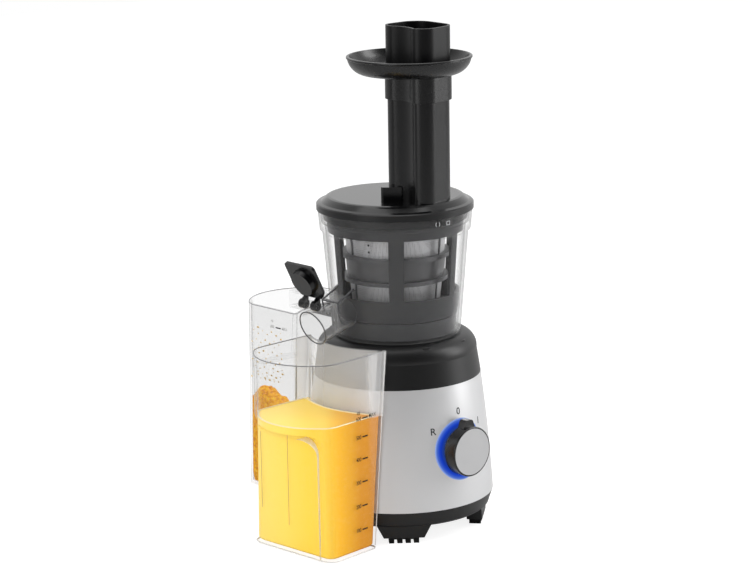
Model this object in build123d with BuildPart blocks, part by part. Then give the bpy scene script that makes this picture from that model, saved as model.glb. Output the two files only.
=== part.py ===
"""Cold press juicer: a motor base, a clear bowl with its auger, strainer and wiper, and two vessels.

Millimetres, +Z up. The floor is z = 0. The machine's own axis stands at (axis_x, axis_y), so that the
origin lies under the middle of the whole set. The front with the knob faces -Y, the juice spout and
the juice jug are on the -X side, and the pulp outlet and the pulp container are on the +Y side.
"""

import os
from math import acos, atan2, cos, degrees, pi, radians, sin, sqrt, tan

from build123d import *

os.makedirs("parts", exist_ok=True)

# ---------------------------------------------------------------- clearances
slip = 0.3              # between separate mouldings that slide, turn or lift past each other
running = 0.05          # radial, between a shaft or pin and its bore
fitted = 0.05           # radial, between pieces that are fixed together
tooth_play = 0.16       # lost motion between meshed teeth, along the pitch circle

# ---------------------------------------------------------------- heights above the floor
tread_height = 4.5      # rubber ridges under the feet
pan_floor = 14.0        # underside of the bottom pan
pan_rim = 26.0          # where the silver shell begins
shell_rim = 119.5       # where the black cover begins
deck = 151.0            # flat top of the cover, where the bowl stands
spigot_height = 6.0     # round boss on the deck that centres the bowl
collar_floor = 238.0    # ledge inside the bowl's collar
bowl_rim = 247.4
lid_face = 247.7        # underside of the lid's outer flange
lid_flange = 252.7      # its top edge
lid_top = 258.0         # flat top of the lid
chute_top = 352.6       # open end of the feed chute
tray_rim = 366.0
pusher_top = 389.3
vessel_height = 151.5   # rim of the jug and of the pulp container

# ---------------------------------------------------------------- base radii and walls
pan_low_radius = 70.0
shell_low_radius = 73.5
shell_bulge = 0.8
shell_top_radius = 64.5
shoulder_radius = 61.6
deck_radius = 51.5
shell_wall = 2.0
pan_wall = 2.5
cover_wall = 3.0
spigot_radius = 20.0

# ---------------------------------------------------------------- feet, posts and their screws
foot_angles = (50, 130, 230, 310)
foot_reach = 60.5
foot_depth = 12.0
foot_top_width = 42.0
foot_low_width = 31.0
tread_width = 23.0
tread_count = 4
tread_rib = 4.0
post_reach = 53.0
post_angles = (70, 110, 250, 290)
post_radius = 5.0
tie_radius = 2.0        # long screws that clamp pan, gearbox and cover together
tie_head_radius = 3.6
tie_head_height = 2.6
tie_bite = 15.0         # length of screw inside the cover's towers

# ---------------------------------------------------------------- motor
motor_radius = 32.0
motor_wall = 1.5
motor_low = 33.5
motor_top = 90.0
rotor_radius = 18.6
rotor_gap = 0.4
stack_low = 46.0
stack_top = 78.0
winding_height = 5.5
motor_shaft_radius = 3.0
pinion_shaft_radius = 1.6
motor_bearing_radius = 6.5
motor_bearing_width = 5.0
fan_radius = 27.0
fan_blades = 9
fan_low = 21.5
fan_height = 6.5
motor_screw_reach = 24.0
motor_screw_radius = 1.5

# ---------------------------------------------------------------- gear train, motor to drive shaft
pressure_angle = radians(25)
motor_teeth = 10
first_wheel_teeth = 40
first_pinion_teeth = 12
second_wheel_teeth = 40
second_pinion_teeth = 12
output_teeth = 48
first_module = 0.7
second_module = 0.9
output_module = 1.25
case_floor = 3.0
case_wall = 2.0
first_wheel_low = 96.0
first_wheel_height = 5.0
second_wheel_low = 103.0
second_wheel_height = 5.0
output_low = 110.5
output_height = 7.5
case_top = 121.0
case_lid = 3.0
first_pin_radius = 1.5
second_pin_radius = 2.0

# ---------------------------------------------------------------- drive shaft and its bearings
shaft_radius = 6.0
shaft_hex = 10.0        # across flats, where it enters the auger
shaft_top = 186.0
drive_bearing_radius = 14.0
drive_bearing_width = 8.0
seal_radius = 11.0

# ---------------------------------------------------------------- knob and rotary switch
knob_height = 70.0      # knob axis above the floor
knob_radius = 19.2
knob_back = shell_top_radius + 7.9    # distance of the knob's back from the machine's axis
knob_face = knob_back + 9.6
knob_disc_radius = 17.9
knob_disc_depth = 1.0
pointer_reach = 24.3
pointer_root = 12.6
pointer_tip = 7.0
pointer_depth = 6.5
ring_inner = 16.0
ring_outer = 23.6
ring_rise = 0.4         # the light ring stands this proud of the shell
ring_depth = 1.0
switch_front = 64.0
switch_depth = 15.0
switch_radius = 12.0
switch_bush_radius = 4.6
knob_shaft_radius = 3.0

# ---------------------------------------------------------------- safety switch under the deck
plunger_angle = 180
plunger_reach = 41.0
plunger_radius = 3.0
plunger_collar = 4.6
switch_top = 134.0
collar_under = 142.6
spring_wire = 0.5
safety_box = (10.0, 20.0, 15.0)

# ---------------------------------------------------------------- cord entry
cord_angle = 50
cord_height = 40.0
cord_hole = 3.8
gland_radius = 9.0

# ---------------------------------------------------------------- bowl
bowl_low_radius = 49.5
bowl_high_radius = 56.0
bowl_wall = 2.3
collar_low = 231.0
collar_low_radius = 57.9
collar_top_radius = 59.2
collar_wall = 1.9
bowl_floor = 2.3
insert_top = 166.0      # top of the dark floor insert under the gears
insert_radius = 46.0

# ---------------------------------------------------------------- juice spout
spout_root = (-46.0, 174.5)      # distance from the machine's axis and height of the root's centre
spout_mouth = (-86.0, 167.6)
spout_root_radius = 10.4
spout_mouth_radius = 14.0
spout_wall = 1.8
mouth_lean = 20.0       # the mouth's plane leans out at its top by this angle
hinge_rise = 5.2        # cap hinge above the mouth's top edge
hinge_pin_radius = 2.0
hinge_width = 18.0
hinge_post = 8.0
saddle_reach = 68.7
saddle_half = 9.0
saddle_wall = 1.6

# ---------------------------------------------------------------- spout cap
cap_open = 173.0        # angle between the closed cap and the open one
cap_size = 32.0
cap_plate = 2.2
cap_plug_height = 4.0
cap_plug_gap = 1.0

# ---------------------------------------------------------------- pulp outlet
pulp_width = 18.0
pulp_low = 154.8
pulp_high = 164.8
pulp_port = 23.0        # inner edge of the port in the floor insert
pulp_port_end = 30.0
pulp_mouth = 114.0
pulp_wall = 2.0

# ---------------------------------------------------------------- wiper drive in the bowl
wiper_module = 1.25
sun_teeth = 24
idler_teeth = 16
ring_teeth = 56
idler_angle = -90
wiper_gear_low = 166.8
wiper_gear_height = 4.8
idler_pin_radius = 2.5

# ---------------------------------------------------------------- wiper
wiper_ribs = 6
wiper_first_rib = -132.5
wiper_rib_width = 11.6     # a rib that carries a blade
wiper_plain_width = 8.0    # a rib without one
blade_every = 3            # every third rib carries a blade
wiper_ring_low = 171.0
wiper_ring_top = 184.0
wiper_head_low = 231.0
wiper_head_top = 241.5
wiper_low_radius = 47.8
wiper_high_radius = 52.6
wiper_wall = 2.4
blade_thickness = 0.8

# ---------------------------------------------------------------- strainer
strainer_floor = 173.2
strainer_top = 239.0
sieve_thickness = 0.5
band_low = 196.5
band_high = 212.0
low_flange_radius = 40.3
high_flange_radius = 42.2
flange_height = 3.0
strainer_low_radius = 33.6
strainer_high_radius = 39.6

# ---------------------------------------------------------------- auger
auger_core_low = 23.5
auger_core_top = 11.0
auger_low_radius = 31.0
auger_top_radius = 34.5
auger_low = 176.2
auger_top = 236.0
auger_twist = 430.0
flight_thickness = 6.0
auger_pin_radius = 4.5
auger_pin_top = 252.0

# ---------------------------------------------------------------- lid
lid_flange_radius = 60.2
lid_plateau_radius = 53.0
lid_wall = 3.0
skirt_low = 240.6
skirt_radius = 55.2
lug_reach = 1.1
lug_height = 2.2
lug_angle = 20.0
lug_count = 4

# ---------------------------------------------------------------- feed chute, tray and pusher
chute_y = -27.0         # chute centre, in front of the machine's axis
chute_wall = 2.4
lobe_radius = 11.4
back_radius = 13.7
dent_radius = 25.3
tray_radius = 47.5
tray_y = -18.0
tray_wall = 2.1
tray_flat = 38.5        # radius of the dish's flat floor
sleeve_low = 334.0
sleeve_wall = 1.5
pusher_foot = 262.0
pusher_wall = 2.2
pusher_flare = 0.9
head_wall = 1.8

# ---------------------------------------------------------------- juice jug and pulp container
# each pair is the value at the floor and at the rim, measured from the machine's axis
jug_wall = 2.0
jug_floor = 2.4
# radius of the hollow side that fits round the base, low and high
jug_bay = (shell_low_radius + 2.5, shell_top_radius + 2.5)
jug_bay_half = (32.5, 38.0)      # half the width of that side
jug_nose = ((67.0, 39.0), (53.6, 39.6))
jug_side = ((72.0, 41.8), (57.5, 40.0))
jug_shoulder = ((109.0, 43.4), (104.0, 40.8))
jug_corner = ((115.0, 41.2), (114.5, 38.2))
jug_face = ((117.6, 36.0), (121.0, 33.0))
jug_reach = (131.0, 135.0)
jug_turn = 3.0                   # the jug stands turned by this angle about the machine's axis
grip_face = 118.3                # distance of the flat grip face
grip_half = 33.0
grip_top = 95.0
grip_corner = 13.0
container_shift = (20.0, 41.0)   # where the pulp container stands, against a place touching the base

# ---------------------------------------------------------------- where the machine stands
bulge = jug_reach[1] - jug_face[1][0]
face_radius = (jug_face[1][1] ** 2 + bulge ** 2) / (2 * bulge)
jug_edge = face_radius + (jug_reach[1] - face_radius) * cos(radians(jug_turn))
axis_x = (jug_edge - shell_low_radius) / 2
axis_y = (knob_face - jug_reach[1] - container_shift[1]) / 2

spin = Axis((axis_x, axis_y, 0), (0, 0, 1))
upright = Plane(origin=(axis_x, axis_y, 0), x_dir=(1, 0, 0), z_dir=(0, -1, 0))


def level(height):
    """A flat work plane on the machine's axis, at a height above the floor."""
    return Plane(origin=(axis_x, axis_y, height))


def facing(angle, distance=0.0, height=0.0):
    """A plane square to a direction out from the axis; its x runs level and its y runs up."""
    out = (cos(radians(angle)), sin(radians(angle)))
    place = (axis_x + distance * out[0], axis_y + distance * out[1], height)
    return Plane(origin=place, x_dir=(-out[1], out[0], 0), z_dir=(out[0], out[1], 0))


def polar(reach, angle):
    """A point at a distance and a direction from the machine's axis."""
    return (reach * cos(radians(angle)), reach * sin(radians(angle)))


def turned(*points, mode=Mode.ADD):
    """Turn a closed profile of (radius, height) points about the machine's axis."""
    with BuildSketch(upright) as profile:
        with BuildLine():
            Polyline(*points, close=True)
        make_face()
    revolve(profile.sketch, axis=spin, mode=mode)


def drum(radius, low, high, bore=0.0, at=(0, 0), mode=Mode.ADD):
    """A round post, or a tube if it has a bore, standing between two heights."""
    with BuildSketch(level(low)) as disc:
        with Locations(at):
            Circle(radius)
            if bore:
                Circle(bore, mode=Mode.SUBTRACT)
    extrude(disc.sketch, amount=high - low, mode=mode)


def slab(x_range, y_range, low, high, mode=Mode.ADD):
    """A straight block between two heights, in the machine's own x and y."""
    with BuildSketch(level(low)) as outline:
        with Locations(((x_range[0] + x_range[1]) / 2, (y_range[0] + y_range[1]) / 2)):
            Rectangle(x_range[1] - x_range[0], y_range[1] - y_range[0])
    extrude(outline.sketch, amount=high - low, mode=mode)


def sector(inner, outer, low, high, angle, width, mode=Mode.ADD):
    """A piece of a flat ring, as wide as an angle in degrees, round the machine's axis."""
    with BuildSketch(level(low)) as piece:
        Circle(outer)
        Circle(inner, mode=Mode.SUBTRACT)
        with BuildLine():
            Polyline(
                (0, 0), polar(2 * outer, angle - width / 2), polar(2 * outer, angle + width / 2), close=True,
            )
        make_face(mode=Mode.INTERSECT)
    extrude(piece.sketch, amount=high - low, mode=mode)


def shell_radius(height):
    """Outer radius of the silver shell at a height, with its slight bulge."""
    share = (height - pan_rim) / (shell_rim - pan_rim)
    straight = shell_low_radius + share * (shell_top_radius - shell_low_radius)
    return straight + 4 * shell_bulge * share * (1 - share)


gland_seat = shell_radius(cord_height)


def bowl_radius(height):
    """Outer radius of the bowl's clear wall at a height."""
    share = (height - deck) / (collar_low - deck)
    return bowl_low_radius + share * (bowl_high_radius - bowl_low_radius)


# ================================================================ bottom pan, feet and tie screws
board_back = -51.6
with BuildPart() as bottom_pan:
    turned(
        (0, pan_floor),
        (pan_low_radius - 1.5, pan_floor),
        (pan_low_radius, pan_floor + 1.5),
        (shell_low_radius, pan_rim),
        (shell_low_radius - shell_wall - slip, pan_rim),
        (shell_low_radius - shell_wall - slip - 0.6, pan_rim + 5),
        (shell_low_radius - shell_wall - slip - pan_wall, pan_rim + 5),
        (pan_low_radius - pan_wall - 1, pan_floor + pan_wall),
        (0, pan_floor + pan_wall),
    )
    for angle in foot_angles:
        with BuildSketch(facing(angle, foot_reach - foot_depth / 2)) as foot:
            with BuildLine():
                Polyline(
                    (-foot_top_width / 2, pan_floor + 1),
                    (-foot_low_width / 2, tread_height),
                    (foot_low_width / 2, tread_height),
                    (foot_top_width / 2, pan_floor + 1),
                    close=True,
                )
            make_face()
        extrude(foot.sketch, amount=foot_depth)
    for angle in post_angles:
        drum(post_radius, pan_floor + 1, case_top, at=polar(post_reach, angle))
    for side in (-1, 1):
        slab((-55, -46), (side * 20 - 3, side * 20 + 3), pan_floor + 1, 36)
    for angle in post_angles:
        drum(tie_radius + slip, pan_floor - 12, case_top + 1, at=polar(post_reach, angle), mode=Mode.SUBTRACT)
        drum(tie_head_radius + slip, pan_floor - 12, pan_floor + 4, at=polar(post_reach, angle),
             mode=Mode.SUBTRACT)
    # slots that hold the edges of the control board
    for side in (-1, 1):
        slab((board_back - 0.2, board_back + 1.8), (side * 19.5 - 2.5, side * 19.5 + 2.5), pan_floor + 4, 37,
             mode=Mode.SUBTRACT)
    with BuildSketch(level(pan_floor - 1)) as air_slots:
        with PolarLocations(24, 12):
            SlotOverall(14, 3)
    extrude(air_slots.sketch, amount=pan_wall + 2, mode=Mode.SUBTRACT)
bottom_pan.part.label = "bottom_pan"
export_step(bottom_pan.part, "parts/bottom_pan.step")

with BuildPart() as rubber_feet:
    for angle in foot_angles:
        pad = facing(angle, foot_reach - foot_depth / 2 + 1.5)
        with BuildSketch(pad) as tread:
            with Locations((0, tread_height - 0.75)):
                Rectangle(tread_width, 1.5)
            with Locations((0, (tread_height - 1) / 2)):
                with GridLocations((tread_width - tread_rib) / (tread_count - 1), 1, tread_count, 1):
                    Rectangle(tread_rib, tread_height - 1)
        extrude(tread.sketch, amount=foot_depth - 3)
rubber_feet.part.label = "rubber_feet"
export_step(rubber_feet.part, "parts/rubber_feet.step")

tower_low = case_top + case_lid
with BuildPart() as tie_screws:
    for angle in post_angles:
        spot = polar(post_reach, angle)
        drum(tie_head_radius, pan_floor + 4 - tie_head_height, pan_floor + 4, at=spot)
        drum(tie_radius, pan_floor + 4, tower_low + tie_bite, at=spot)
tie_screws.part.label = "tie_screws"
export_step(tie_screws.part, "parts/tie_screws.step")


# ================================================================ silver shell and light ring
def shell_column(grow, mode):
    """The space inside the shell's outer surface, moved out by a distance."""
    halfway = (pan_rim + shell_rim) / 2
    with BuildSketch(upright) as column:
        with BuildLine():
            ThreePointArc(
                (shell_low_radius + grow, pan_rim),
                (shell_radius(halfway) + grow, halfway),
                (shell_top_radius + grow, shell_rim),
            )
            Polyline(
                (shell_top_radius + grow, shell_rim),
                (0, shell_rim),
                (0, pan_rim),
                (shell_low_radius + grow, pan_rim),
            )
        make_face()
    revolve(column.sketch, axis=spin, mode=mode)


with BuildPart() as ring_groove:
    with BuildSketch(facing(-90, 55, knob_height)) as groove_face:
        Circle(ring_outer + fitted)
        Circle(ring_inner - fitted, mode=Mode.SUBTRACT)
    extrude(groove_face.sketch, amount=25)
    shell_column(-ring_depth, Mode.SUBTRACT)

with BuildPart() as light_ring:
    with BuildSketch(facing(-90, 55, knob_height)) as ring_shape:
        Circle(ring_outer)
        Circle(ring_inner, mode=Mode.SUBTRACT)
    extrude(ring_shape.sketch, amount=25)
    shell_column(-ring_depth, Mode.SUBTRACT)
    shell_column(ring_rise, Mode.INTERSECT)
light_ring.part.label = "light_ring"
export_step(light_ring.part, "parts/light_ring.step")

pad_half = switch_radius + 1
with BuildPart() as base_shell:
    middle = (pan_rim + shell_rim) / 2
    with BuildSketch(upright) as sleeve:
        with BuildLine():
            ThreePointArc(
                (shell_low_radius, pan_rim),
                (shell_radius(middle), middle),
                (shell_top_radius, shell_rim),
            )
            Line((shell_top_radius, shell_rim), (shell_top_radius - shell_wall, shell_rim))
            ThreePointArc(
                (shell_top_radius - shell_wall, shell_rim),
                (shell_radius(middle) - shell_wall, middle),
                (shell_low_radius - shell_wall, pan_rim),
            )
            Line((shell_low_radius - shell_wall, pan_rim), (shell_low_radius, pan_rim))
        make_face()
    revolve(sleeve.sketch, axis=spin)
    # seat for the rotary switch behind the front
    with BuildSketch(facing(-90, switch_front, knob_height)) as seat:
        RectangleRounded(2 * pad_half, 2 * pad_half, 3)
    extrude(seat.sketch, amount=shell_radius(knob_height - pad_half) - switch_front)
    shell_column(0, Mode.INTERSECT)
    # groove for the light ring
    add(ring_groove.part, mode=Mode.SUBTRACT)
    with BuildSketch(facing(-90, switch_front - 1, knob_height)) as bush_hole:
        Circle(switch_bush_radius + slip)
    extrude(bush_hole.sketch, amount=12, mode=Mode.SUBTRACT)
    with BuildSketch(facing(cord_angle, gland_seat - 12, cord_height)) as cord_opening:
        Circle(gland_radius - 3 + slip / 2)
    extrude(cord_opening.sketch, amount=20, mode=Mode.SUBTRACT)
base_shell.part.label = "base_shell"
export_step(base_shell.part, "parts/base_shell.step")

with BuildPart() as cord_gland:
    with BuildSketch(facing(cord_angle, gland_seat - 3.5, cord_height)) as flange:
        Circle(gland_radius)
    extrude(flange.sketch, amount=6.5)
    shell_column(0.02, Mode.SUBTRACT)
    with BuildSketch(facing(cord_angle, gland_seat - 5.6, cord_height)) as nut:
        Circle(gland_radius - 1)
    extrude(nut.sketch, amount=2.9)
    with BuildSketch(facing(cord_angle, gland_seat - 5.5, cord_height)) as neck:
        Circle(gland_radius - 3)
    extrude(neck.sketch, amount=8)
    with BuildSketch(facing(cord_angle, gland_seat - 12, cord_height)) as cord_way:
        Circle(cord_hole)
    extrude(cord_way.sketch, amount=20, mode=Mode.SUBTRACT)
cord_gland.part.label = "cord_gland"
export_step(cord_gland.part, "parts/cord_gland.step")

# ================================================================ black cover
plunger_spot = polar(plunger_reach, plunger_angle)
box_x, box_y, box_z = safety_box
with BuildPart() as top_cover:
    with BuildSketch(upright) as dome:
        with BuildLine():
            Line((shell_top_radius, shell_rim), (shoulder_radius, 138))
            ThreePointArc((shoulder_radius, 138), (59.2, 146.4), (deck_radius, deck))
            Polyline(
                (deck_radius, deck),
                (spigot_radius, deck),
                (spigot_radius, deck + spigot_height),
                (0, deck + spigot_height),
                (0, deck - cover_wall),
                (deck_radius - 1.5, deck - cover_wall),
                (shoulder_radius - cover_wall - 1, 143.5),
                (shoulder_radius - cover_wall, 138),
                (shell_top_radius - shell_wall - slip - 1.8, shell_rim),
                (shell_top_radius - shell_wall - slip - 1.8, shell_rim - 7),
                (shell_top_radius - shell_wall - slip, shell_rim - 7),
                (shell_top_radius - shell_wall - slip, shell_rim),
                (shell_top_radius, shell_rim),
            )
        make_face()
    revolve(dome.sketch, axis=spin)
    for angle in post_angles:
        drum(post_radius, tower_low, deck - cover_wall + 1, at=polar(post_reach, angle))
        drum(tie_radius + fitted, tower_low - 1, tower_low + tie_bite, at=polar(post_reach, angle),
             mode=Mode.SUBTRACT)
    # bayonet lugs round the spigot
    for angle in (30, 150, 270):
        sector(spigot_radius - 1, spigot_radius + 2, deck + 3, deck + 5, angle, 24)
    drum(seal_radius + fitted, deck - cover_wall + 1, deck + spigot_height + 1, mode=Mode.SUBTRACT)
    drum(shaft_radius + 0.6, deck - cover_wall - 1, deck + spigot_height, mode=Mode.SUBTRACT)
    drum(plunger_radius + slip, deck - cover_wall - 1, deck + 1, at=plunger_spot, mode=Mode.SUBTRACT)
    # two hangers for the safety switch
    for side in (-1, 1):
        inner_edge = side * (box_y / 2 + 0.15)
        outer_edge = inner_edge + side * 2.5
        slab(
            (plunger_spot[0] - box_x / 2, plunger_spot[0] + box_x / 2),
            (min(inner_edge, outer_edge), max(inner_edge, outer_edge)),
            switch_top - box_z,
            deck - cover_wall + 1,
        )
top_cover.part.label = "top_cover"
export_step(top_cover.part, "parts/top_cover.step")

# ================================================================ motor
bearing_seat_radius = motor_bearing_radius + fitted
end_bell_top = motor_low + 2.5
stack_radius = motor_radius - motor_wall - fitted
with BuildPart() as motor_end_bell:
    drum(motor_radius, motor_low, end_bell_top)
    drum(stack_radius, end_bell_top - 1, end_bell_top + 2)
    drum(bearing_seat_radius + 2.5, motor_low - 3, end_bell_top + 2)
    drum(stack_radius - 2, end_bell_top, end_bell_top + 3, bore=bearing_seat_radius + 2.5, mode=Mode.SUBTRACT)
    drum(bearing_seat_radius, end_bell_top + 2 - motor_bearing_width, end_bell_top + 3, mode=Mode.SUBTRACT)
    drum(motor_shaft_radius + 1, motor_low - 4, end_bell_top, mode=Mode.SUBTRACT)
    with BuildSketch(level(motor_low - 1)) as vents:
        with PolarLocations(21, 8):
            SlotOverall(10, 5, rotation=90)
    extrude(vents.sketch, amount=6, mode=Mode.SUBTRACT)
motor_end_bell.part.label = "motor_end_bell"
export_step(motor_end_bell.part, "parts/motor_end_bell.step")

can_top_wall = 2.5
screw_spots = [polar(motor_screw_reach, angle) for angle in (0, 90, 180, 270)]
hub_low = motor_top - 8
with BuildPart() as motor_can:
    drum(motor_radius, end_bell_top, motor_top)
    drum(motor_radius - motor_wall, end_bell_top - 1, motor_top - can_top_wall, mode=Mode.SUBTRACT)
    drum(bearing_seat_radius + 2.5, hub_low, motor_top - 1)
    drum(bearing_seat_radius, hub_low - 1, hub_low + motor_bearing_width, mode=Mode.SUBTRACT)
    drum(motor_shaft_radius + 1, hub_low, motor_top + 1, mode=Mode.SUBTRACT)
    for spot in screw_spots:
        drum(motor_screw_radius + fitted, motor_top - can_top_wall - 1, motor_top + 1, at=spot,
             mode=Mode.SUBTRACT)
    with BuildSketch(level(motor_top - can_top_wall - 1)) as can_vents:
        with PolarLocations(22, 4, start_angle=45):
            SlotOverall(12, 4, rotation=90)
    extrude(can_vents.sketch, amount=can_top_wall + 2, mode=Mode.SUBTRACT)
motor_can.part.label = "motor_can"
export_step(motor_can.part, "parts/motor_can.step")

with BuildPart() as motor_stator:
    drum(stack_radius, stack_low, stack_top, bore=rotor_radius + rotor_gap)
    with BuildSketch(level(stack_low)) as slots:
        with PolarLocations(rotor_radius + 5, 16):
            Rectangle(7, 3)
    extrude(slots.sketch, amount=stack_top - stack_low, mode=Mode.SUBTRACT)
motor_stator.part.label = "motor_stator"
export_step(motor_stator.part, "parts/motor_stator.step")

with BuildPart() as motor_windings:
    for low in (stack_low - winding_height, stack_top):
        drum(stack_radius - 2.5, low, low + winding_height, bore=rotor_radius + 1.5)
    fillet(motor_windings.edges().group_by(Axis.Z)[0], 1.6)
    fillet(motor_windings.edges().group_by(Axis.Z)[-1], 1.6)
motor_windings.part.label = "motor_windings"
export_step(motor_windings.part, "parts/motor_windings.step")

with BuildPart() as motor_bearings:
    for low in (end_bell_top + 2 - motor_bearing_width, hub_low):
        drum(motor_bearing_radius, low, low + motor_bearing_width, bore=motor_shaft_radius + running)
motor_bearings.part.label = "motor_bearings"
export_step(motor_bearings.part, "parts/motor_bearings.step")

case_bottom = motor_top
case_inside = case_bottom + case_floor
with BuildPart() as motor_screws:
    for spot in screw_spots:
        drum(motor_screw_radius, motor_top - can_top_wall - 1.5, case_inside, at=spot)
        drum(2.7, case_inside, case_inside + 1.8, at=spot)
motor_screws.part.label = "motor_screws"
export_step(motor_screws.part, "parts/motor_screws.step")

pinion_top = first_wheel_low + first_wheel_height + 1
with BuildPart() as motor_rotor:
    drum(rotor_radius, stack_low, stack_top)
    drum(8, stack_low - 4, stack_top + 2)
    drum(motor_shaft_radius, fan_low - 1, case_inside)
    drum(pinion_shaft_radius, case_inside, pinion_top)
    with BuildSketch(level(stack_low)) as bars:
        with PolarLocations(rotor_radius, 20):
            Circle(0.9)
    extrude(bars.sketch, amount=stack_top - stack_low, mode=Mode.SUBTRACT)
motor_rotor.part.label = "motor_rotor"
export_step(motor_rotor.part, "parts/motor_rotor.step")

with BuildPart() as cooling_fan:
    drum(7, fan_low, fan_low + fan_height)
    drum(fan_radius, fan_low, fan_low + 1.4)
    with BuildSketch(level(fan_low + 1)) as blades:
        with PolarLocations((7 + fan_radius) / 2, fan_blades):
            Rectangle(fan_radius - 8.5, 1.4, rotation=14)
    extrude(blades.sketch, amount=fan_height - 1)
    drum(motor_shaft_radius + fitted, fan_low - 1, fan_low + fan_height + 1, mode=Mode.SUBTRACT)
cooling_fan.part.label = "cooling_fan"
export_step(cooling_fan.part, "parts/cooling_fan.step")


# ================================================================ gears
def gear_outline(teeth, module, turn, hollow=False):
    """Corner points of an involute gear; a hollow one is the space inside a ring gear."""
    pitch = teeth * module / 2
    base = pitch * cos(pressure_angle)
    tip = pitch + (1.05 if hollow else 0.8) * module
    root = pitch - (0.8 if hollow else 1.05) * module
    play = tooth_play / 2 if hollow else -tooth_play / 2
    flank = [max(root, base), pitch - 0.3 * module, pitch, pitch + 0.4 * module, tip]
    flank = sorted(radius for radius in flank if radius >= max(root, base))

    def half_width(radius):
        """Half the tooth's angle at a radius, by the involute."""
        involute = tan(pressure_angle) - pressure_angle
        here = acos(base / radius)
        return pi / 2 / teeth + play / pitch / 2 + involute - (tan(here) - here)

    shape = [(root, half_width(flank[0]))] if root < base else []
    shape += [(radius, half_width(radius)) for radius in flank]
    points = []
    for tooth in range(teeth):
        middle = radians(turn) + tooth * 2 * pi / teeth
        for radius, half in shape:
            points.append((radius * cos(middle - half), radius * sin(middle - half)))
        for radius, half in reversed(shape):
            points.append((radius * cos(middle + half), radius * sin(middle + half)))
    return points


def toothed(teeth, module, turn, low, height, at=(0, 0), hollow=False, mode=Mode.ADD):
    """A spur gear between two heights; turn is the direction in which its first tooth points."""
    points = [(x + at[0], y + at[1]) for x, y in gear_outline(teeth, module, turn, hollow)]
    with BuildSketch(level(low)) as outline:
        with BuildLine():
            Polyline(*points, close=True)
        make_face()
    extrude(outline.sketch, amount=height, mode=mode)


# axle places: the first compound gear stands beside the motor shaft, the second beside the drive shaft
first_reach = (motor_teeth + first_wheel_teeth) * first_module / 2
between = (first_pinion_teeth + second_wheel_teeth) * second_module / 2
second_reach = (second_pinion_teeth + output_teeth) * output_module / 2
first_x = (first_reach ** 2 - between ** 2 + second_reach ** 2) / (2 * second_reach)
first_axle = (first_x, sqrt(first_reach ** 2 - first_x ** 2))
second_axle = (second_reach, 0.0)
to_first = degrees(atan2(first_axle[1], first_axle[0]))
to_second = degrees(atan2(second_axle[1] - first_axle[1], second_axle[0] - first_axle[0]))

with BuildPart() as motor_pinion:
    toothed(motor_teeth, first_module, to_first, first_wheel_low - 0.5, first_wheel_height + 1.5)
    drum(pinion_shaft_radius + fitted, case_inside, pinion_top + 1, mode=Mode.SUBTRACT)
motor_pinion.part.label = "motor_pinion"
export_step(motor_pinion.part, "parts/motor_pinion.step")

with BuildPart() as first_gear:
    toothed(first_wheel_teeth, first_module, to_first + 180 + 180 / first_wheel_teeth,
            first_wheel_low, first_wheel_height, at=first_axle)
    toothed(first_pinion_teeth, second_module, to_second,
            first_wheel_low + first_wheel_height - 0.5,
            output_low - first_wheel_low - first_wheel_height - 0.5,
            at=first_axle)
    drum(first_pin_radius + running, first_wheel_low - 1, output_low, at=first_axle, mode=Mode.SUBTRACT)
first_gear.part.label = "first_gear"
export_step(first_gear.part, "parts/first_gear.step")

second_top = case_top - 1.0
with BuildPart() as second_gear:
    toothed(second_wheel_teeth, second_module, to_second + 180 + 180 / second_wheel_teeth,
            second_wheel_low, second_wheel_height, at=second_axle)
    toothed(second_pinion_teeth, output_module, 180,
            second_wheel_low + second_wheel_height - 0.5,
            second_top - second_wheel_low - second_wheel_height + 0.5, at=second_axle)
    drum(second_pin_radius + running, second_wheel_low - 1, second_top + 1, at=second_axle,
         mode=Mode.SUBTRACT)
second_gear.part.label = "second_gear"
export_step(second_gear.part, "parts/second_gear.step")

with BuildPart() as output_gear:
    toothed(output_teeth, output_module, 180 / output_teeth, output_low, output_height)
    drum(shaft_radius + 4, output_low, output_low + output_height + 1.5)
    drum(shaft_radius + fitted, output_low - 1, case_top + 1, mode=Mode.SUBTRACT)
    with BuildSketch(level(output_low - 1)) as lightening:
        with PolarLocations(19, 6):
            Circle(5)
    extrude(lightening.sketch, amount=output_height + 3, mode=Mode.SUBTRACT)
output_gear.part.label = "output_gear"
export_step(output_gear.part, "parts/output_gear.step")

hex_low = deck + spigot_height + 1
with BuildPart() as drive_shaft:
    drum(shaft_radius, output_low - 0.8, hex_low)
    drum(shaft_radius + 1.4, output_low - 0.8, output_low)
    with BuildSketch(level(hex_low)) as hexagon:
        RegularPolygon(shaft_hex / 2, 6, major_radius=False)
    extrude(hexagon.sketch, amount=shaft_top - hex_low)
    chamfer(drive_shaft.faces().sort_by(Axis.Z)[-1].edges(), 1.2)
drive_shaft.part.label = "drive_shaft"
export_step(drive_shaft.part, "parts/drive_shaft.step")

# ================================================================ gearbox case, lid, pins, bearings
gear_room = output_teeth * output_module / 2 + output_module + 1.2
second_room = second_wheel_teeth * second_module / 2 + second_module + 1.2
boss_radius = drive_bearing_radius + 3
lid_low = case_top
boss_top = deck - cover_wall - 0.5


def case_plan(grow):
    """Outline round both large gears, in the open sketch."""
    Circle(gear_room + grow)
    with Locations(second_axle):
        Circle(second_room + grow)
    make_hull()


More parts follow.
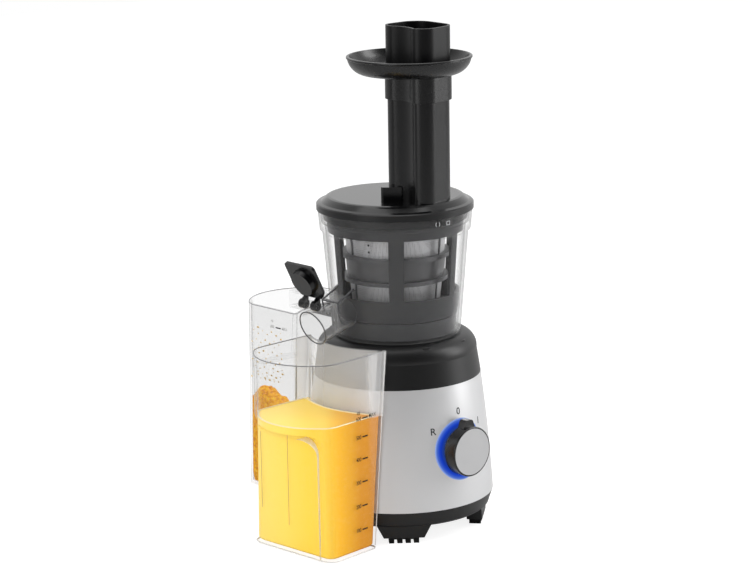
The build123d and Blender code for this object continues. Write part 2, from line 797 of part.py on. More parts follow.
with BuildPart() as gearbox_case:
    with BuildSketch(level(case_bottom)) as case_outside:
        case_plan(case_wall)
    extrude(case_outside.sketch, amount=case_top - case_bottom)
    with BuildSketch(level(case_inside)) as case_room:
        case_plan(0)
    extrude(case_room.sketch, amount=case_top, mode=Mode.SUBTRACT)
    drum(motor_shaft_radius + 1, case_bottom - 1, case_inside + 1, mode=Mode.SUBTRACT)
    for spot, pin in ((first_axle, first_pin_radius), (second_axle, second_pin_radius)):
        drum(pin + 2.5, case_inside - 0.5, first_wheel_low - 0.5, at=spot)
    drum(second_pin_radius + 2.5, case_inside, second_wheel_low - 0.5, at=second_axle)
    for spot, pin in ((first_axle, first_pin_radius), (second_axle, second_pin_radius)):
        drum(pin + fitted, case_bottom + 1, second_wheel_low, at=spot, mode=Mode.SUBTRACT)
    for spot in screw_spots:
        drum(motor_screw_radius + fitted, case_bottom - 1, case_inside + 1, at=spot, mode=Mode.SUBTRACT)
gearbox_case.part.label = "gearbox_case"
export_step(gearbox_case.part, "parts/gearbox_case.step")

with BuildPart() as gearbox_lid:
    with BuildSketch(level(lid_low)) as lid_plate:
        case_plan(case_wall)
        for angle in post_angles:
            with BuildLine():
                Polyline(
                    polar(20, angle + 20), polar(post_reach, angle + 4.5),
                    polar(post_reach, angle - 4.5), polar(20, angle - 20), close=True,
                )
            make_face()
            with Locations(polar(post_reach, angle)):
                Circle(post_radius)
    extrude(lid_plate.sketch, amount=case_lid)
    drum(boss_radius, lid_low, boss_top)
    drum(drive_bearing_radius + fitted, lid_low + 1, boss_top + 1, mode=Mode.SUBTRACT)
    drum(shaft_radius + 4.5, lid_low - 1, lid_low + 2, mode=Mode.SUBTRACT)
    for angle in post_angles:
        drum(tie_radius + slip, lid_low - 1, lid_low + case_lid + 1, at=polar(post_reach, angle),
             mode=Mode.SUBTRACT)
    drum(second_pin_radius + fitted, lid_low - 1, lid_low + case_lid + 1, at=second_axle, mode=Mode.SUBTRACT)
gearbox_lid.part.label = "gearbox_lid"
export_step(gearbox_lid.part, "parts/gearbox_lid.step")

with BuildPart() as gear_pins:
    drum(first_pin_radius, case_bottom + 1, output_low - 0.5, at=first_axle)
    drum(second_pin_radius, case_bottom + 1, lid_low + case_lid, at=second_axle)
gear_pins.part.label = "gear_pins"
export_step(gear_pins.part, "parts/gear_pins.step")

lower_bearing = lid_low + 1
upper_bearing = boss_top - drive_bearing_width
with BuildPart() as drive_bearings:
    for low in (lower_bearing, upper_bearing):
        drum(drive_bearing_radius, low, low + drive_bearing_width, bore=shaft_radius + running)
drive_bearings.part.label = "drive_bearings"
export_step(drive_bearings.part, "parts/drive_bearings.step")

with BuildPart() as bearing_spacer:
    drum(drive_bearing_radius, lower_bearing + drive_bearing_width, upper_bearing,
         bore=drive_bearing_radius - 2)
bearing_spacer.part.label = "bearing_spacer"
export_step(bearing_spacer.part, "parts/bearing_spacer.step")

with BuildPart() as shaft_seal:
    turned(
        (seal_radius, deck - cover_wall + 1),
        (seal_radius, deck + spigot_height),
        (shaft_radius + running + 0.6, deck + spigot_height),
        (shaft_radius + running, deck + spigot_height - 1),
        (shaft_radius + running + 2, deck + spigot_height - 3),
        (shaft_radius + running + 2, deck - cover_wall + 1),
    )
shaft_seal.part.label = "shaft_seal"
export_step(shaft_seal.part, "parts/shaft_seal.step")

# ================================================================ control board
with BuildPart() as control_board:
    slab((board_back, board_back + 1.6), (-21.9, 21.9), pan_floor + 4, 66)
    slab((board_back + 1, -41), (-16, -2), 42, 60)
    slab((board_back + 1, -39), (3, 17), 30, 44)
    with BuildSketch(facing(180, 38, 55)) as capacitor:
        with Locations((-10, 0)):
            Circle(5.5)
    extrude(capacitor.sketch, amount=12.5)
control_board.part.label = "control_board"
export_step(control_board.part, "parts/control_board.step")

# ================================================================ knob and rotary switch
with BuildPart() as knob:
    with BuildSketch(facing(-90, knob_back, knob_height)) as cap_shape:
        Circle(knob_radius)
    extrude(cap_shape.sketch, amount=knob_face - knob_back)
    with BuildSketch(facing(-90, knob_back, knob_height)) as pointer:
        with BuildLine():
            Polyline(
                (-pointer_root / 2, knob_radius - 2), (pointer_root / 2, knob_radius - 2),
                (pointer_tip / 2, pointer_reach), (-pointer_tip / 2, pointer_reach), close=True,
            )
        make_face()
        fillet(pointer.vertices().sort_by(Axis.Y)[-2:], 2.6)
    extrude(pointer.sketch, amount=pointer_depth)
    fillet(knob.faces().sort_by(Axis.Y)[0].edges(), 0.8)
    with BuildSketch(facing(-90, knob_face - knob_disc_depth, knob_height)) as disc_seat:
        Circle(knob_disc_radius + fitted)
    extrude(disc_seat.sketch, amount=5, mode=Mode.SUBTRACT)
    with BuildSketch(facing(-90, knob_back - 1, knob_height)) as knob_hollow:
        Circle(knob_radius - 2)
        Circle(6.5, mode=Mode.SUBTRACT)
    extrude(knob_hollow.sketch, amount=7, mode=Mode.SUBTRACT)
    with BuildSketch(facing(-90, knob_back - 1, knob_height)) as shaft_hole:
        Circle(knob_shaft_radius + fitted)
    extrude(shaft_hole.sketch, amount=9, mode=Mode.SUBTRACT)
knob.part.label = "knob"
export_step(knob.part, "parts/knob.step")

with BuildPart() as knob_disc:
    with BuildSketch(facing(-90, knob_face - knob_disc_depth, knob_height)) as disc_shape:
        Circle(knob_disc_radius)
    extrude(disc_shape.sketch, amount=knob_disc_depth)
knob_disc.part.label = "knob_disc"
export_step(knob_disc.part, "parts/knob_disc.step")

with BuildPart() as switch_shaft:
    with BuildSketch(facing(-90, switch_front - 6, knob_height)) as rod_shape:
        Circle(knob_shaft_radius)
    extrude(rod_shape.sketch, amount=knob_back + 7.5 - switch_front + 6)
    with BuildSketch(facing(-90, switch_front - 7, knob_height)) as rotor_shape:
        Circle(7)
    extrude(rotor_shape.sketch, amount=3)
switch_shaft.part.label = "switch_shaft"
export_step(switch_shaft.part, "parts/switch_shaft.step")

with BuildPart() as rotary_switch:
    with BuildSketch(facing(-90, switch_front - switch_depth, knob_height)) as switch_shape:
        Circle(switch_radius)
    extrude(switch_shape.sketch, amount=switch_depth)
    with BuildSketch(facing(-90, switch_front - 1, knob_height)) as bush_shape:
        Circle(switch_bush_radius)
    extrude(bush_shape.sketch, amount=8)
    with BuildSketch(facing(-90, switch_front - 7.3, knob_height)) as rotor_room:
        Circle(7 + slip)
    extrude(rotor_room.sketch, amount=3.6, mode=Mode.SUBTRACT)
    with BuildSketch(facing(-90, switch_front - 7.3, knob_height)) as bush_bore:
        Circle(knob_shaft_radius + running)
    extrude(bush_bore.sketch, amount=20, mode=Mode.SUBTRACT)
    with BuildSketch(facing(-90, switch_front - switch_depth - 4, knob_height)) as terminals:
        with GridLocations(7, 0, 3, 1):
            Rectangle(0.8, 4.8)
    extrude(terminals.sketch, amount=5)
rotary_switch.part.label = "rotary_switch"
export_step(rotary_switch.part, "parts/rotary_switch.step")

# ================================================================ safety switch
with BuildPart() as safety_switch:
    slab(
        (plunger_spot[0] - box_x / 2, plunger_spot[0] + box_x / 2),
        (-box_y / 2, box_y / 2),
        switch_top - box_z,
        switch_top,
    )
    drum(1.5 + running, switch_top - 8, switch_top + 1, at=plunger_spot, mode=Mode.SUBTRACT)
    for side in (-1, 1):
        slab((plunger_spot[0] - 0.4, plunger_spot[0] + 0.4), (side * 6 - 2.4, side * 6 + 2.4),
             switch_top - box_z - 6, switch_top - box_z + 1)
safety_switch.part.label = "safety_switch"
export_step(safety_switch.part, "parts/safety_switch.step")

with BuildPart() as bowl_plunger:
    drum(1.5, switch_top - 2, collar_under + 1, at=plunger_spot)
    drum(plunger_collar, collar_under, collar_under + 2.2, at=plunger_spot)
    drum(plunger_radius, collar_under + 1, deck - 0.2, at=plunger_spot)
    fillet(bowl_plunger.faces().sort_by(Axis.Z)[-1].edges(), 1)
bowl_plunger.part.label = "bowl_plunger"
export_step(bowl_plunger.part, "parts/bowl_plunger.step")

coil_radius = 3.3
with BuildPart() as interlock_spring:
    coil_low = switch_top + spring_wire + 0.05
    coil_height = collar_under - switch_top - 2 * spring_wire - 0.1
    with BuildLine() as coil:
        Helix(
            pitch=coil_height / 4,
            height=coil_height,
            radius=coil_radius,
            center=(axis_x + plunger_spot[0], axis_y + plunger_spot[1], coil_low),
        )
    with BuildSketch(Plane(origin=coil.line @ 0, z_dir=coil.line % 0)) as wire_section:
        Circle(spring_wire)
    sweep(wire_section.sketch, path=coil.line)
interlock_spring.part.label = "interlock_spring"
export_step(interlock_spring.part, "parts/interlock_spring.step")

# ================================================================ clear bowl
flat_gap = 0.05                       # where a body rests flat on another
bowl_low = deck + flat_gap
inner_low = bowl_radius(deck + bowl_floor) - bowl_wall
collar_slope = (collar_top_radius - collar_low_radius) / (bowl_rim - collar_low)


def collar_inside(height):
    """Inner radius of the bowl's collar at a height."""
    return collar_low_radius + collar_slope * (height - collar_low) - collar_wall


spout_run = spout_mouth[0] - spout_root[0]
spout_drop = spout_mouth[1] - spout_root[1]
spout_length = sqrt(spout_run ** 2 + spout_drop ** 2)
spout_way = (spout_run / spout_length, 0, spout_drop / spout_length)
spout_growth = (spout_mouth_radius - spout_root_radius) / spout_length
lean = radians(mouth_lean)
mouth_out = (-cos(lean), 0, -sin(lean))
mouth_up = (-sin(lean), 0, cos(lean))
mouth_half = spout_mouth_radius / cos(lean - atan2(-spout_drop, -spout_run))


def spout_plane(along):
    """A plane square to the spout's axis at a distance from its root."""
    place = (
        axis_x + spout_root[0] + along * spout_way[0],
        axis_y,
        spout_root[1] + along * spout_way[2],
    )
    return Plane(origin=place, x_dir=(0, 1, 0), z_dir=spout_way)


def spout_cone(low, high, inset, mode=Mode.ADD):
    """The spout's cone between two distances along its axis, thinner by an inset."""
    with BuildSketch(spout_plane(low)) as near:
        Circle(spout_root_radius + spout_growth * low - inset)
    with BuildSketch(spout_plane(high)) as far:
        Circle(spout_root_radius + spout_growth * high - inset)
    loft([near.sketch.face(), far.sketch.face()], mode=mode)


hinge_x = spout_mouth[0] + mouth_up[0] * mouth_half + 2.5
hinge_z = spout_mouth[1] + mouth_up[2] * mouth_half + hinge_rise
wiper_reach = collar_inside(collar_floor)
with BuildPart() as bowl:
    turned(
        (23, bowl_low),
        (bowl_low_radius - 1.5, bowl_low),
        (bowl_low_radius, bowl_low + 1.5),
        (bowl_high_radius, collar_low),
        (collar_low_radius, collar_low + 1.5),
        (collar_top_radius, bowl_rim),
        (collar_top_radius - collar_wall, bowl_rim),
        (wiper_reach, collar_floor),
        (bowl_radius(collar_floor) - bowl_wall, collar_floor),
        (inner_low, deck + bowl_floor),
        (23, deck + bowl_floor),
    )
    # juice spout with its mouth cut slanting
    spout_cone(0, 52, 0)
    mouth = Plane(
        origin=(axis_x + spout_mouth[0], axis_y, spout_mouth[1]), x_dir=(0, 1, 0), z_dir=mouth_out,
    )
    with BuildSketch(mouth) as past_mouth:
        Rectangle(60, 60)
    extrude(past_mouth.sketch, amount=30, mode=Mode.SUBTRACT)
    # hollow clear box that braces the spout against the wall
    with BuildSketch(Plane(origin=(axis_x, axis_y + saddle_half, 0), x_dir=(1, 0, 0),
                           z_dir=(0, -1, 0))) as brace:
        with BuildLine():
            Polyline(
                (-45, 175), (-45, 196), (-54, 192.5), (-saddle_reach, 185.5),
                (-saddle_reach + 2, 175), close=True,
            )
        make_face()
    extrude(brace.sketch, amount=2 * saddle_half)
    with BuildSketch(Plane(origin=(axis_x, axis_y + saddle_half - saddle_wall, 0), x_dir=(1, 0, 0),
                           z_dir=(0, -1, 0))) as brace_room:
        with BuildLine():
            Polyline(
                (-54, 187.5), (-54, 200), (-saddle_reach + saddle_wall, 200),
                (-saddle_reach + saddle_wall, 184), close=True,
            )
        make_face()
    extrude(brace_room.sketch, amount=2 * (saddle_half - saddle_wall), mode=Mode.SUBTRACT)
    # ear that carries the cap's hinge pin
    with BuildSketch(Plane(origin=(axis_x, axis_y + hinge_post / 2, 0), x_dir=(1, 0, 0),
                           z_dir=(0, -1, 0))) as ear:
        with Locations((hinge_x, hinge_z)):
            Circle(hinge_pin_radius + 1.4)
        with BuildLine():
            Polyline(
                (hinge_x - 3, hinge_z),
                (hinge_x - 1.2, hinge_z - hinge_rise - 2.5),
                (hinge_x + 6, hinge_z - hinge_rise - 2.5),
                (hinge_x + 3, hinge_z),
                close=True,
            )
        make_face()
    extrude(ear.sketch, amount=hinge_post)
    with BuildSketch(Plane(origin=(axis_x, axis_y + hinge_width / 2, 0), x_dir=(1, 0, 0),
                           z_dir=(0, -1, 0))) as pin_shape:
        with Locations((hinge_x, hinge_z)):
            Circle(hinge_pin_radius)
    extrude(pin_shape.sketch, amount=hinge_width)
    # square pulp outlet
    slab((-pulp_width / 2 - pulp_wall, pulp_width / 2 + pulp_wall), (40, pulp_mouth),
         pulp_low - pulp_wall, pulp_high + pulp_wall)
    # clear out the inside
    turned(
        (0, deck + bowl_floor),
        (inner_low, deck + bowl_floor),
        (bowl_radius(collar_floor) - bowl_wall, collar_floor),
        (0, collar_floor),
        mode=Mode.SUBTRACT,
    )
    spout_cone(-6, 56, spout_wall, mode=Mode.SUBTRACT)
    slab((-pulp_width / 2, pulp_width / 2), (40, pulp_mouth + 1), pulp_low, pulp_high, mode=Mode.SUBTRACT)
    # bayonet tabs inside the collar
    for turn in range(lug_count):
        sector(skirt_radius + 0.4, collar_inside(242) + 0.6, 243.1, 245.6, 360 * turn / lug_count,
               lug_angle + 2)
bowl.part.label = "bowl"
export_step(bowl.part, "parts/bowl.step")

# ================================================================ floor insert, seal and idler pin
insert_low = deck + bowl_floor
hub_radius = 8.0
sleeve_radius = hub_radius + 0.6
with BuildPart() as bowl_insert:
    drum(insert_radius, insert_low, insert_top)
    drum(44, insert_top, insert_top + 0.5, bore=38)
    for side in (-1, 1):
        drum(4, insert_top - 1, strainer_floor, at=(side * 22, -12))
    drum(spigot_radius + slip, insert_low - 1, deck + spigot_height + 0.3, mode=Mode.SUBTRACT)
    for angle in (30, 150, 270):
        sector(spigot_radius - 1, spigot_radius + 2 + slip, insert_low - 1, deck + spigot_height + 0.3,
               angle, 27, mode=Mode.SUBTRACT)
    drum(sleeve_radius, insert_low, insert_top + 1, mode=Mode.SUBTRACT)
    drum(seal_radius + fitted, insert_top - 6, insert_top + 1, mode=Mode.SUBTRACT)
    drum(idler_pin_radius + fitted, insert_top - 5, insert_top + 1,
         at=polar((sun_teeth + idler_teeth) * wiper_module / 2, idler_angle), mode=Mode.SUBTRACT)
    slab((-pulp_width / 2, pulp_width / 2), (pulp_port, insert_radius + 1), pulp_low, pulp_high,
         mode=Mode.SUBTRACT)
    slab((-pulp_width / 2, pulp_width / 2), (pulp_port, pulp_port_end), pulp_low, insert_top + 1,
         mode=Mode.SUBTRACT)
bowl_insert.part.label = "bowl_insert"
export_step(bowl_insert.part, "parts/bowl_insert.step")

with BuildPart() as bowl_seal:
    turned(
        (seal_radius, insert_top - 6),
        (seal_radius, insert_top - 0.5),
        (hub_radius + running + 0.6, insert_top - 0.5),
        (hub_radius + running, insert_top - 1.5),
        (hub_radius + running + 1.2, insert_top - 3.5),
        (hub_radius + running + 1.2, insert_top - 6),
    )
bowl_seal.part.label = "bowl_seal"
export_step(bowl_seal.part, "parts/bowl_seal.step")

idler_spot = polar((sun_teeth + idler_teeth) * wiper_module / 2, idler_angle)
with BuildPart() as idler_pin:
    drum(idler_pin_radius, insert_top - 5, strainer_floor - 1, at=idler_spot)
idler_pin.part.label = "idler_pin"
export_step(idler_pin.part, "parts/idler_pin.step")

with BuildPart() as idler_gear:
    toothed(idler_teeth, wiper_module, idler_angle + 180 + 180 / idler_teeth,
            wiper_gear_low, wiper_gear_height, at=idler_spot)
    drum(idler_pin_radius + running, insert_top, strainer_floor, at=idler_spot, mode=Mode.SUBTRACT)
idler_gear.part.label = "idler_gear"
export_step(idler_gear.part, "parts/idler_gear.step")

# ================================================================ spout cap, standing open
swing = radians(cap_open)


def swung(x, z):
    """A direction in the spout's own upright plane, turned from closed to open."""
    return (x * cos(swing) + z * sin(swing), -x * sin(swing) + z * cos(swing))


to_mouth = swung(spout_mouth[0] - hinge_x, spout_mouth[1] - hinge_z)
open_out = swung(mouth_out[0], mouth_out[2])
open_mouth = Plane(
    origin=(axis_x + hinge_x + to_mouth[0], axis_y, hinge_z + to_mouth[1]),
    x_dir=(0, 1, 0),
    z_dir=(open_out[0], 0, open_out[1]),
)
# the hinge pin as the cap's own plane sees it
pin_up = (hinge_x - spout_mouth[0]) * mouth_up[0] + (hinge_z - spout_mouth[1]) * mouth_up[2]
pin_out = (hinge_x - spout_mouth[0]) * mouth_out[0] + (hinge_z - spout_mouth[1]) * mouth_out[2]
up_sign = 1 if open_mouth.y_dir.Z * swung(mouth_up[0], mouth_up[2])[1] > 0 else -1
hook_gap = hinge_post / 2 + slip
with BuildPart() as spout_cap:
    with BuildSketch(open_mouth.offset(slip)) as plate:
        with BuildLine():
            Polyline(
                (-hinge_width / 2 - 2, up_sign * 14.5), (hinge_width / 2 + 2, up_sign * 14.5),
                (cap_size / 2, up_sign * 8), (cap_size / 2, -up_sign * 15.2),
                (-cap_size / 2, -up_sign * 15.2), (-cap_size / 2, up_sign * 8), close=True,
            )
        make_face()
        fillet(plate.vertices(), 3)
    extrude(plate.sketch, amount=cap_plate)
    with BuildSketch(open_mouth.offset(slip + 0.5)) as plug_base:
        Circle(spout_mouth_radius - spout_wall - cap_plug_gap)
    with BuildSketch(open_mouth.offset(slip - cap_plug_height)) as plug_tip:
        Circle(spout_mouth_radius - spout_wall - cap_plug_gap - 1)
    loft([plug_base.sketch.face(), plug_tip.sketch.face()])
    # two hooks that grip the ends of the hinge pin
    for side in (-1, 1):
        first = hook_gap if side > 0 else -hinge_width / 2
        hook_plane = Plane(
            origin=open_mouth.origin + open_mouth.x_dir * first,
            x_dir=open_mouth.y_dir,
            z_dir=open_mouth.x_dir,
        )
        with BuildSketch(hook_plane) as hook:
            with BuildLine():
                Polyline(
                    (up_sign * 12, slip), (up_sign * 12, slip + cap_plate),
                    (up_sign * (pin_up + 3.4), pin_out + 1), (up_sign * (pin_up - 2.6), pin_out),
                    (up_sign * 14.3, slip), close=True,
                )
            make_face()
            with Locations((up_sign * pin_up, pin_out)):
                Circle(hinge_pin_radius + 1.7)
            with Locations((up_sign * pin_up, pin_out)):
                Circle(hinge_pin_radius + running, mode=Mode.SUBTRACT)
        extrude(hook.sketch, amount=hinge_width / 2 - hook_gap)
spout_cap.part.label = "spout_cap"
export_step(spout_cap.part, "parts/spout_cap.step")

# ================================================================ wiper
wiper_slope = (wiper_high_radius - wiper_low_radius) / (wiper_head_top - wiper_ring_low)


def wiper_outside(height):
    """Outer radius of the wiper at a height."""
    return wiper_low_radius + wiper_slope * (height - wiper_ring_low)


def wiper_band(low, high):
    """Part of the wiper's conical wall between two heights."""
    turned(
        (wiper_outside(low), low),
        (wiper_outside(high), high),
        (wiper_outside(high) - wiper_wall, high),
        (wiper_outside(low) - wiper_wall, low),
    )


rib_angles = [wiper_first_rib + 360 * rib / wiper_ribs for rib in range(wiper_ribs)]
gear_ring_radius = 47.0
gear_ring_top = wiper_gear_low + wiper_gear_height
with BuildPart() as wiper_frame:
    wiper_band(wiper_ring_low, wiper_head_top)
    for rib in range(wiper_ribs):
        # a window from this rib's edge to the next one's
        widths = [wiper_plain_width if side % blade_every else wiper_rib_width for side in (rib, rib + 1)]
        first_edge = rib_angles[rib] + degrees(widths[0] / 100)
        next_edge = rib_angles[rib] + 360 / wiper_ribs - degrees(widths[1] / 100)
        sector(40, 60, wiper_ring_top, wiper_head_low, (first_edge + next_edge) / 2, next_edge - first_edge,
               mode=Mode.SUBTRACT)
    drum(gear_ring_radius, wiper_gear_low, gear_ring_top)
    toothed(ring_teeth, wiper_module, idler_angle + 180 / ring_teeth, wiper_gear_low - 1,
            wiper_gear_height + 2, hollow=True, mode=Mode.SUBTRACT)
wiper_frame.part.label = "wiper_frame"
export_step(wiper_frame.part, "parts/wiper_frame.step")


def mesh_radius(height):
    """Outer radius of the strainer's sieve at a height."""
    share = (height - strainer_floor) / (strainer_top - strainer_floor)
    return strainer_low_radius + share * (strainer_high_radius - strainer_low_radius)


blade_gap = 1.6
sweeps = (
    (wiper_ring_low + 6, band_low - flange_height - 0.8),
    (band_low + 0.8, band_high - 0.8),
    (band_high + flange_height + 0.8, wiper_head_low),
)
with BuildPart() as wiper_blades:
    for angle in rib_angles[::blade_every]:
        out = (cos(radians(angle)), sin(radians(angle)), 0)
        with BuildSketch(Plane(origin=(axis_x, axis_y, 0), x_dir=out, z_dir=(out[1], -out[0], 0))) as blade:
            with BuildLine():
                Polyline(
                    (wiper_outside(sweeps[0][0]) - wiper_wall - 0.02, sweeps[0][0]),
                    (wiper_outside(sweeps[2][1]) - wiper_wall - 0.02, sweeps[2][1]),
                    (mesh_radius(sweeps[2][1]) + blade_gap, sweeps[2][1]),
                    (mesh_radius(sweeps[2][0]) + blade_gap, sweeps[2][0]),
                    (high_flange_radius + 0.8, sweeps[2][0]),
                    (high_flange_radius + 0.8, sweeps[1][1]),
                    (mesh_radius(sweeps[1][1]) + 2.4, sweeps[1][1]),
                    (mesh_radius(sweeps[1][0]) + 2.4, sweeps[1][0]),
                    (low_flange_radius + 0.8, sweeps[1][0]),
                    (low_flange_radius + 0.8, sweeps[0][1]),
                    (mesh_radius(sweeps[0][1]) + blade_gap, sweeps[0][1]),
                    (mesh_radius(sweeps[0][0]) + blade_gap, sweeps[0][0]),
                    close=True,
                )
            make_face()
        extrude(blade.sketch, amount=blade_thickness / 2, both=True)
wiper_blades.part.label = "wiper_blades"
export_step(wiper_blades.part, "parts/wiper_blades.step")

# ================================================================ strainer
floor_plate = 2.5
floor_hole = 17.0
sieve_low = strainer_floor + floor_plate
with BuildPart() as strainer_frame:
    drum(strainer_low_radius + 0.1, strainer_floor, sieve_low, bore=floor_hole)
    # duct that drops the pulp into the floor insert
    slab((-pulp_width / 2 - 1.2, pulp_width / 2 + 1.2), (pulp_port - 1.2, pulp_port_end + 1.2),
         insert_top + 0.2, sieve_low)
    slab((-pulp_width / 2, pulp_width / 2), (pulp_port, pulp_port_end), insert_top - 1, sieve_low + 1,
         mode=Mode.SUBTRACT)
    turned(
        (mesh_radius(band_low) - sieve_thickness, band_low - flange_height),
        (low_flange_radius, band_low - flange_height),
        (low_flange_radius, band_low),
        (mesh_radius(band_low) + 1.4, band_low),
        (mesh_radius(band_high) + 1.4, band_high),
        (high_flange_radius, band_high),
        (high_flange_radius, band_high + flange_height),
        (mesh_radius(band_high) - sieve_thickness, band_high + flange_height),
    )
    turned(
        (mesh_radius(strainer_top - 4) - sieve_thickness, strainer_top - 4),
        (mesh_radius(strainer_top) + 1, strainer_top - 4),
        (mesh_radius(strainer_top) + 1, strainer_top),
        (mesh_radius(strainer_top) - sieve_thickness, strainer_top),
    )
    # ribs outside the sieve
    for angle in rib_angles:
        out = (cos(radians(angle)), sin(radians(angle)), 0)
        with BuildSketch(Plane(origin=(axis_x, axis_y, 0), x_dir=out,
                               z_dir=(out[1], -out[0], 0))) as rib_shape:
            with BuildLine():
                Polyline(
                    (mesh_radius(strainer_floor) - 1, strainer_floor),
                    (mesh_radius(strainer_floor) + 0.1, strainer_floor),
                    (mesh_radius(strainer_floor) + 0.9, sieve_low),
                    (mesh_radius(strainer_top) + 0.8, strainer_top - 1),
                    (mesh_radius(strainer_top), strainer_top - 1),
                    (mesh_radius(sieve_low), sieve_low),
                    (mesh_radius(sieve_low) - 1, sieve_low),
                    close=True,
                )
            make_face()
        extrude(rib_shape.sketch, amount=0.8, both=True)
strainer_frame.part.label = "strainer_frame"
export_step(strainer_frame.part, "parts/strainer_frame.step")

with BuildPart() as strainer_sieve:
    for low, high in ((sieve_low, band_low - flange_height), (band_high + flange_height, strainer_top - 4)):
        turned(
            (mesh_radius(low) - 0.02, low),
            (mesh_radius(high) - 0.02, high),
            (mesh_radius(high) - sieve_thickness, high),
            (mesh_radius(low) - sieve_thickness, low),
        )
strainer_sieve.part.label = "strainer_sieve"
export_step(strainer_sieve.part, "parts/strainer_sieve.step")

# ================================================================ auger
hub_low = deck + spigot_height + 1.3
with BuildPart() as auger:
    # two flights: a twisted bar trimmed to a cone
    with BuildSketch(level(auger_low)) as flight_section:
        Rectangle(2 * auger_top_radius + 4, flight_thickness)
    add(Solid.extrude_linear_with_rotation(
        section=flight_section.sketch.face(),
        center=(axis_x, axis_y, auger_low),
        normal=(0, 0, auger_top - auger_low),
        angle=auger_twist,
    ))
    turned(
        (0, auger_low),
        (auger_low_radius, auger_low),
        (auger_top_radius, auger_top),
        (0, auger_top),
        mode=Mode.INTERSECT,
    )
    turned(
        (0, auger_low),
        (auger_core_low, auger_low),
        (auger_core_top, auger_top),
        (auger_pin_radius + 1, auger_top + 2),
        (auger_pin_radius, auger_top + 2),
        (auger_pin_radius, auger_pin_top - 0.6),
        (auger_pin_radius - 0.6, auger_pin_top),
        (0, auger_pin_top),
    )
    drum(14, wiper_gear_low + wiper_gear_height - 0.5, auger_low)
    toothed(sun_teeth, wiper_module, idler_angle, wiper_gear_low, wiper_gear_height)
    drum(hub_radius, hub_low, wiper_gear_low + 1)
    with BuildSketch(level(hub_low - 1)) as socket:
        RegularPolygon(shaft_hex / 2 + running, 6, major_radius=False)
    extrude(socket.sketch, amount=shaft_top + 2 - hub_low, mode=Mode.SUBTRACT)
auger.part.label = "auger"
export_step(auger.part, "parts/auger.step")


# ================================================================ lid with feed chute
def bean(grow):
    """The feed chute's kidney-shaped section, moved out by a distance, in the open sketch."""
    with Locations((-6, chute_y - 11.5), (-4.5, chute_y + 12)):
        Circle(lobe_radius + grow)
    with Locations((6.5, chute_y - 7.5), (8, chute_y + 9.8)):
        Circle(back_radius + grow)
    make_hull()
    with Locations((-38.6, chute_y - 0.5)):
        Circle(dent_radius - grow, mode=Mode.SUBTRACT)


def bean_prism(grow, low, high, mode=Mode.ADD):
    """A straight piece with the chute's section."""
    with BuildSketch(level(low)) as section:
        bean(grow)
        fillet(section.vertices().sort_by(Axis.X)[:2], max(4 + grow, 1))
    extrude(section.sketch, amount=high - low, mode=mode)


plateau_under = lid_top - lid_wall
with BuildPart() as lid:
    turned(
        (0, lid_top),
        (lid_plateau_radius - 3.5, lid_top),
        (lid_plateau_radius - 1.2, lid_top - 0.4),
        (lid_plateau_radius + 0.3, lid_top - 1.4),
        (lid_plateau_radius + 3.6, lid_flange + 1.2),
        (lid_flange_radius - 0.8, lid_flange + 0.4),
        (lid_flange_radius, lid_flange - 0.4),
        (lid_flange_radius, lid_face),
        (skirt_radius, lid_face),
        (skirt_radius, skirt_low),
        (skirt_radius - 2.1, skirt_low),
        (skirt_radius - 2.1, lid_face + 1),
        (lid_plateau_radius - 3.5, plateau_under),
        (0, plateau_under),
    )
    for turn in range(lug_count):
        sector(skirt_radius - 1, skirt_radius + lug_reach, skirt_low, skirt_low + lug_height,
               360 * turn / lug_count, lug_angle)
    bean_prism(0, plateau_under, chute_top)
    # lug beside the chute
    with BuildSketch(level(lid_top - 1)) as lug_shape:
        with Locations(Location((-16.8, -15.4), -45)):
            RectangleRounded(17, 8, 2)
    extrude(lug_shape.sketch, amount=11)
    # socket for the auger's top pin
    drum(6.5, 246, plateau_under + 1)
    bean_prism(-chute_wall, 240, chute_top + 1, mode=Mode.SUBTRACT)
    drum(auger_pin_radius + running, 245, auger_pin_top + 0.3, mode=Mode.SUBTRACT)
lid.part.label = "lid"
export_step(lid.part, "parts/lid.step")

# ================================================================ feed tray and pusher
dish_low = chute_top + flat_gap
tray_floor = dish_low + tray_wall
with BuildPart() as feed_tray:
    with BuildSketch(Plane(origin=(axis_x, axis_y + tray_y, 0), x_dir=(1, 0, 0), z_dir=(0, -1, 0))) as dish:
        with BuildLine():
            Polyline((0, tray_floor), (0, dish_low), (tray_flat - 2, dish_low))
            Spline(
                (tray_flat - 2, dish_low),
                (tray_radius - 7, dish_low + 1.8),
                (tray_radius - 3.9, dish_low + 4.6),
                (tray_radius - 1.8, dish_low + 8),
                (tray_radius - 0.8, tray_rim - 2),
            )
            Polyline(
                (tray_radius - 0.8, tray_rim - 2),
                (tray_radius, tray_rim - 1.4),
                (tray_radius, tray_rim - 0.4),
                (tray_radius - 0.6, tray_rim),
                (tray_radius - tray_wall, tray_rim),
                (tray_radius - 0.9 - tray_wall, tray_rim - 2.4),
            )
            Spline(
                (tray_radius - 0.9 - tray_wall, tray_rim - 2.4),
                (tray_radius - 2.1 - tray_wall, dish_low + 8.4),
                (tray_radius - 4.4 - tray_wall, dish_low + 5.2),
                (tray_radius - 6.6 - tray_wall, tray_floor + 0.7),
                (tray_flat - 2.6, tray_floor),
            )
            Line((tray_flat - 2.6, tray_floor), (0, tray_floor))
        make_face()
    revolve(dish.sketch, axis=Axis((axis_x, axis_y + tray_y, 0), (0, 0, 1)))
    bean_prism(slip + sleeve_wall, sleeve_low, dish_low + 0.5)
    bean_prism(slip, sleeve_low - 1, dish_low, mode=Mode.SUBTRACT)
    bean_prism(-chute_wall, sleeve_low - 1, tray_floor + 1, mode=Mode.SUBTRACT)
feed_tray.part.label = "feed_tray"
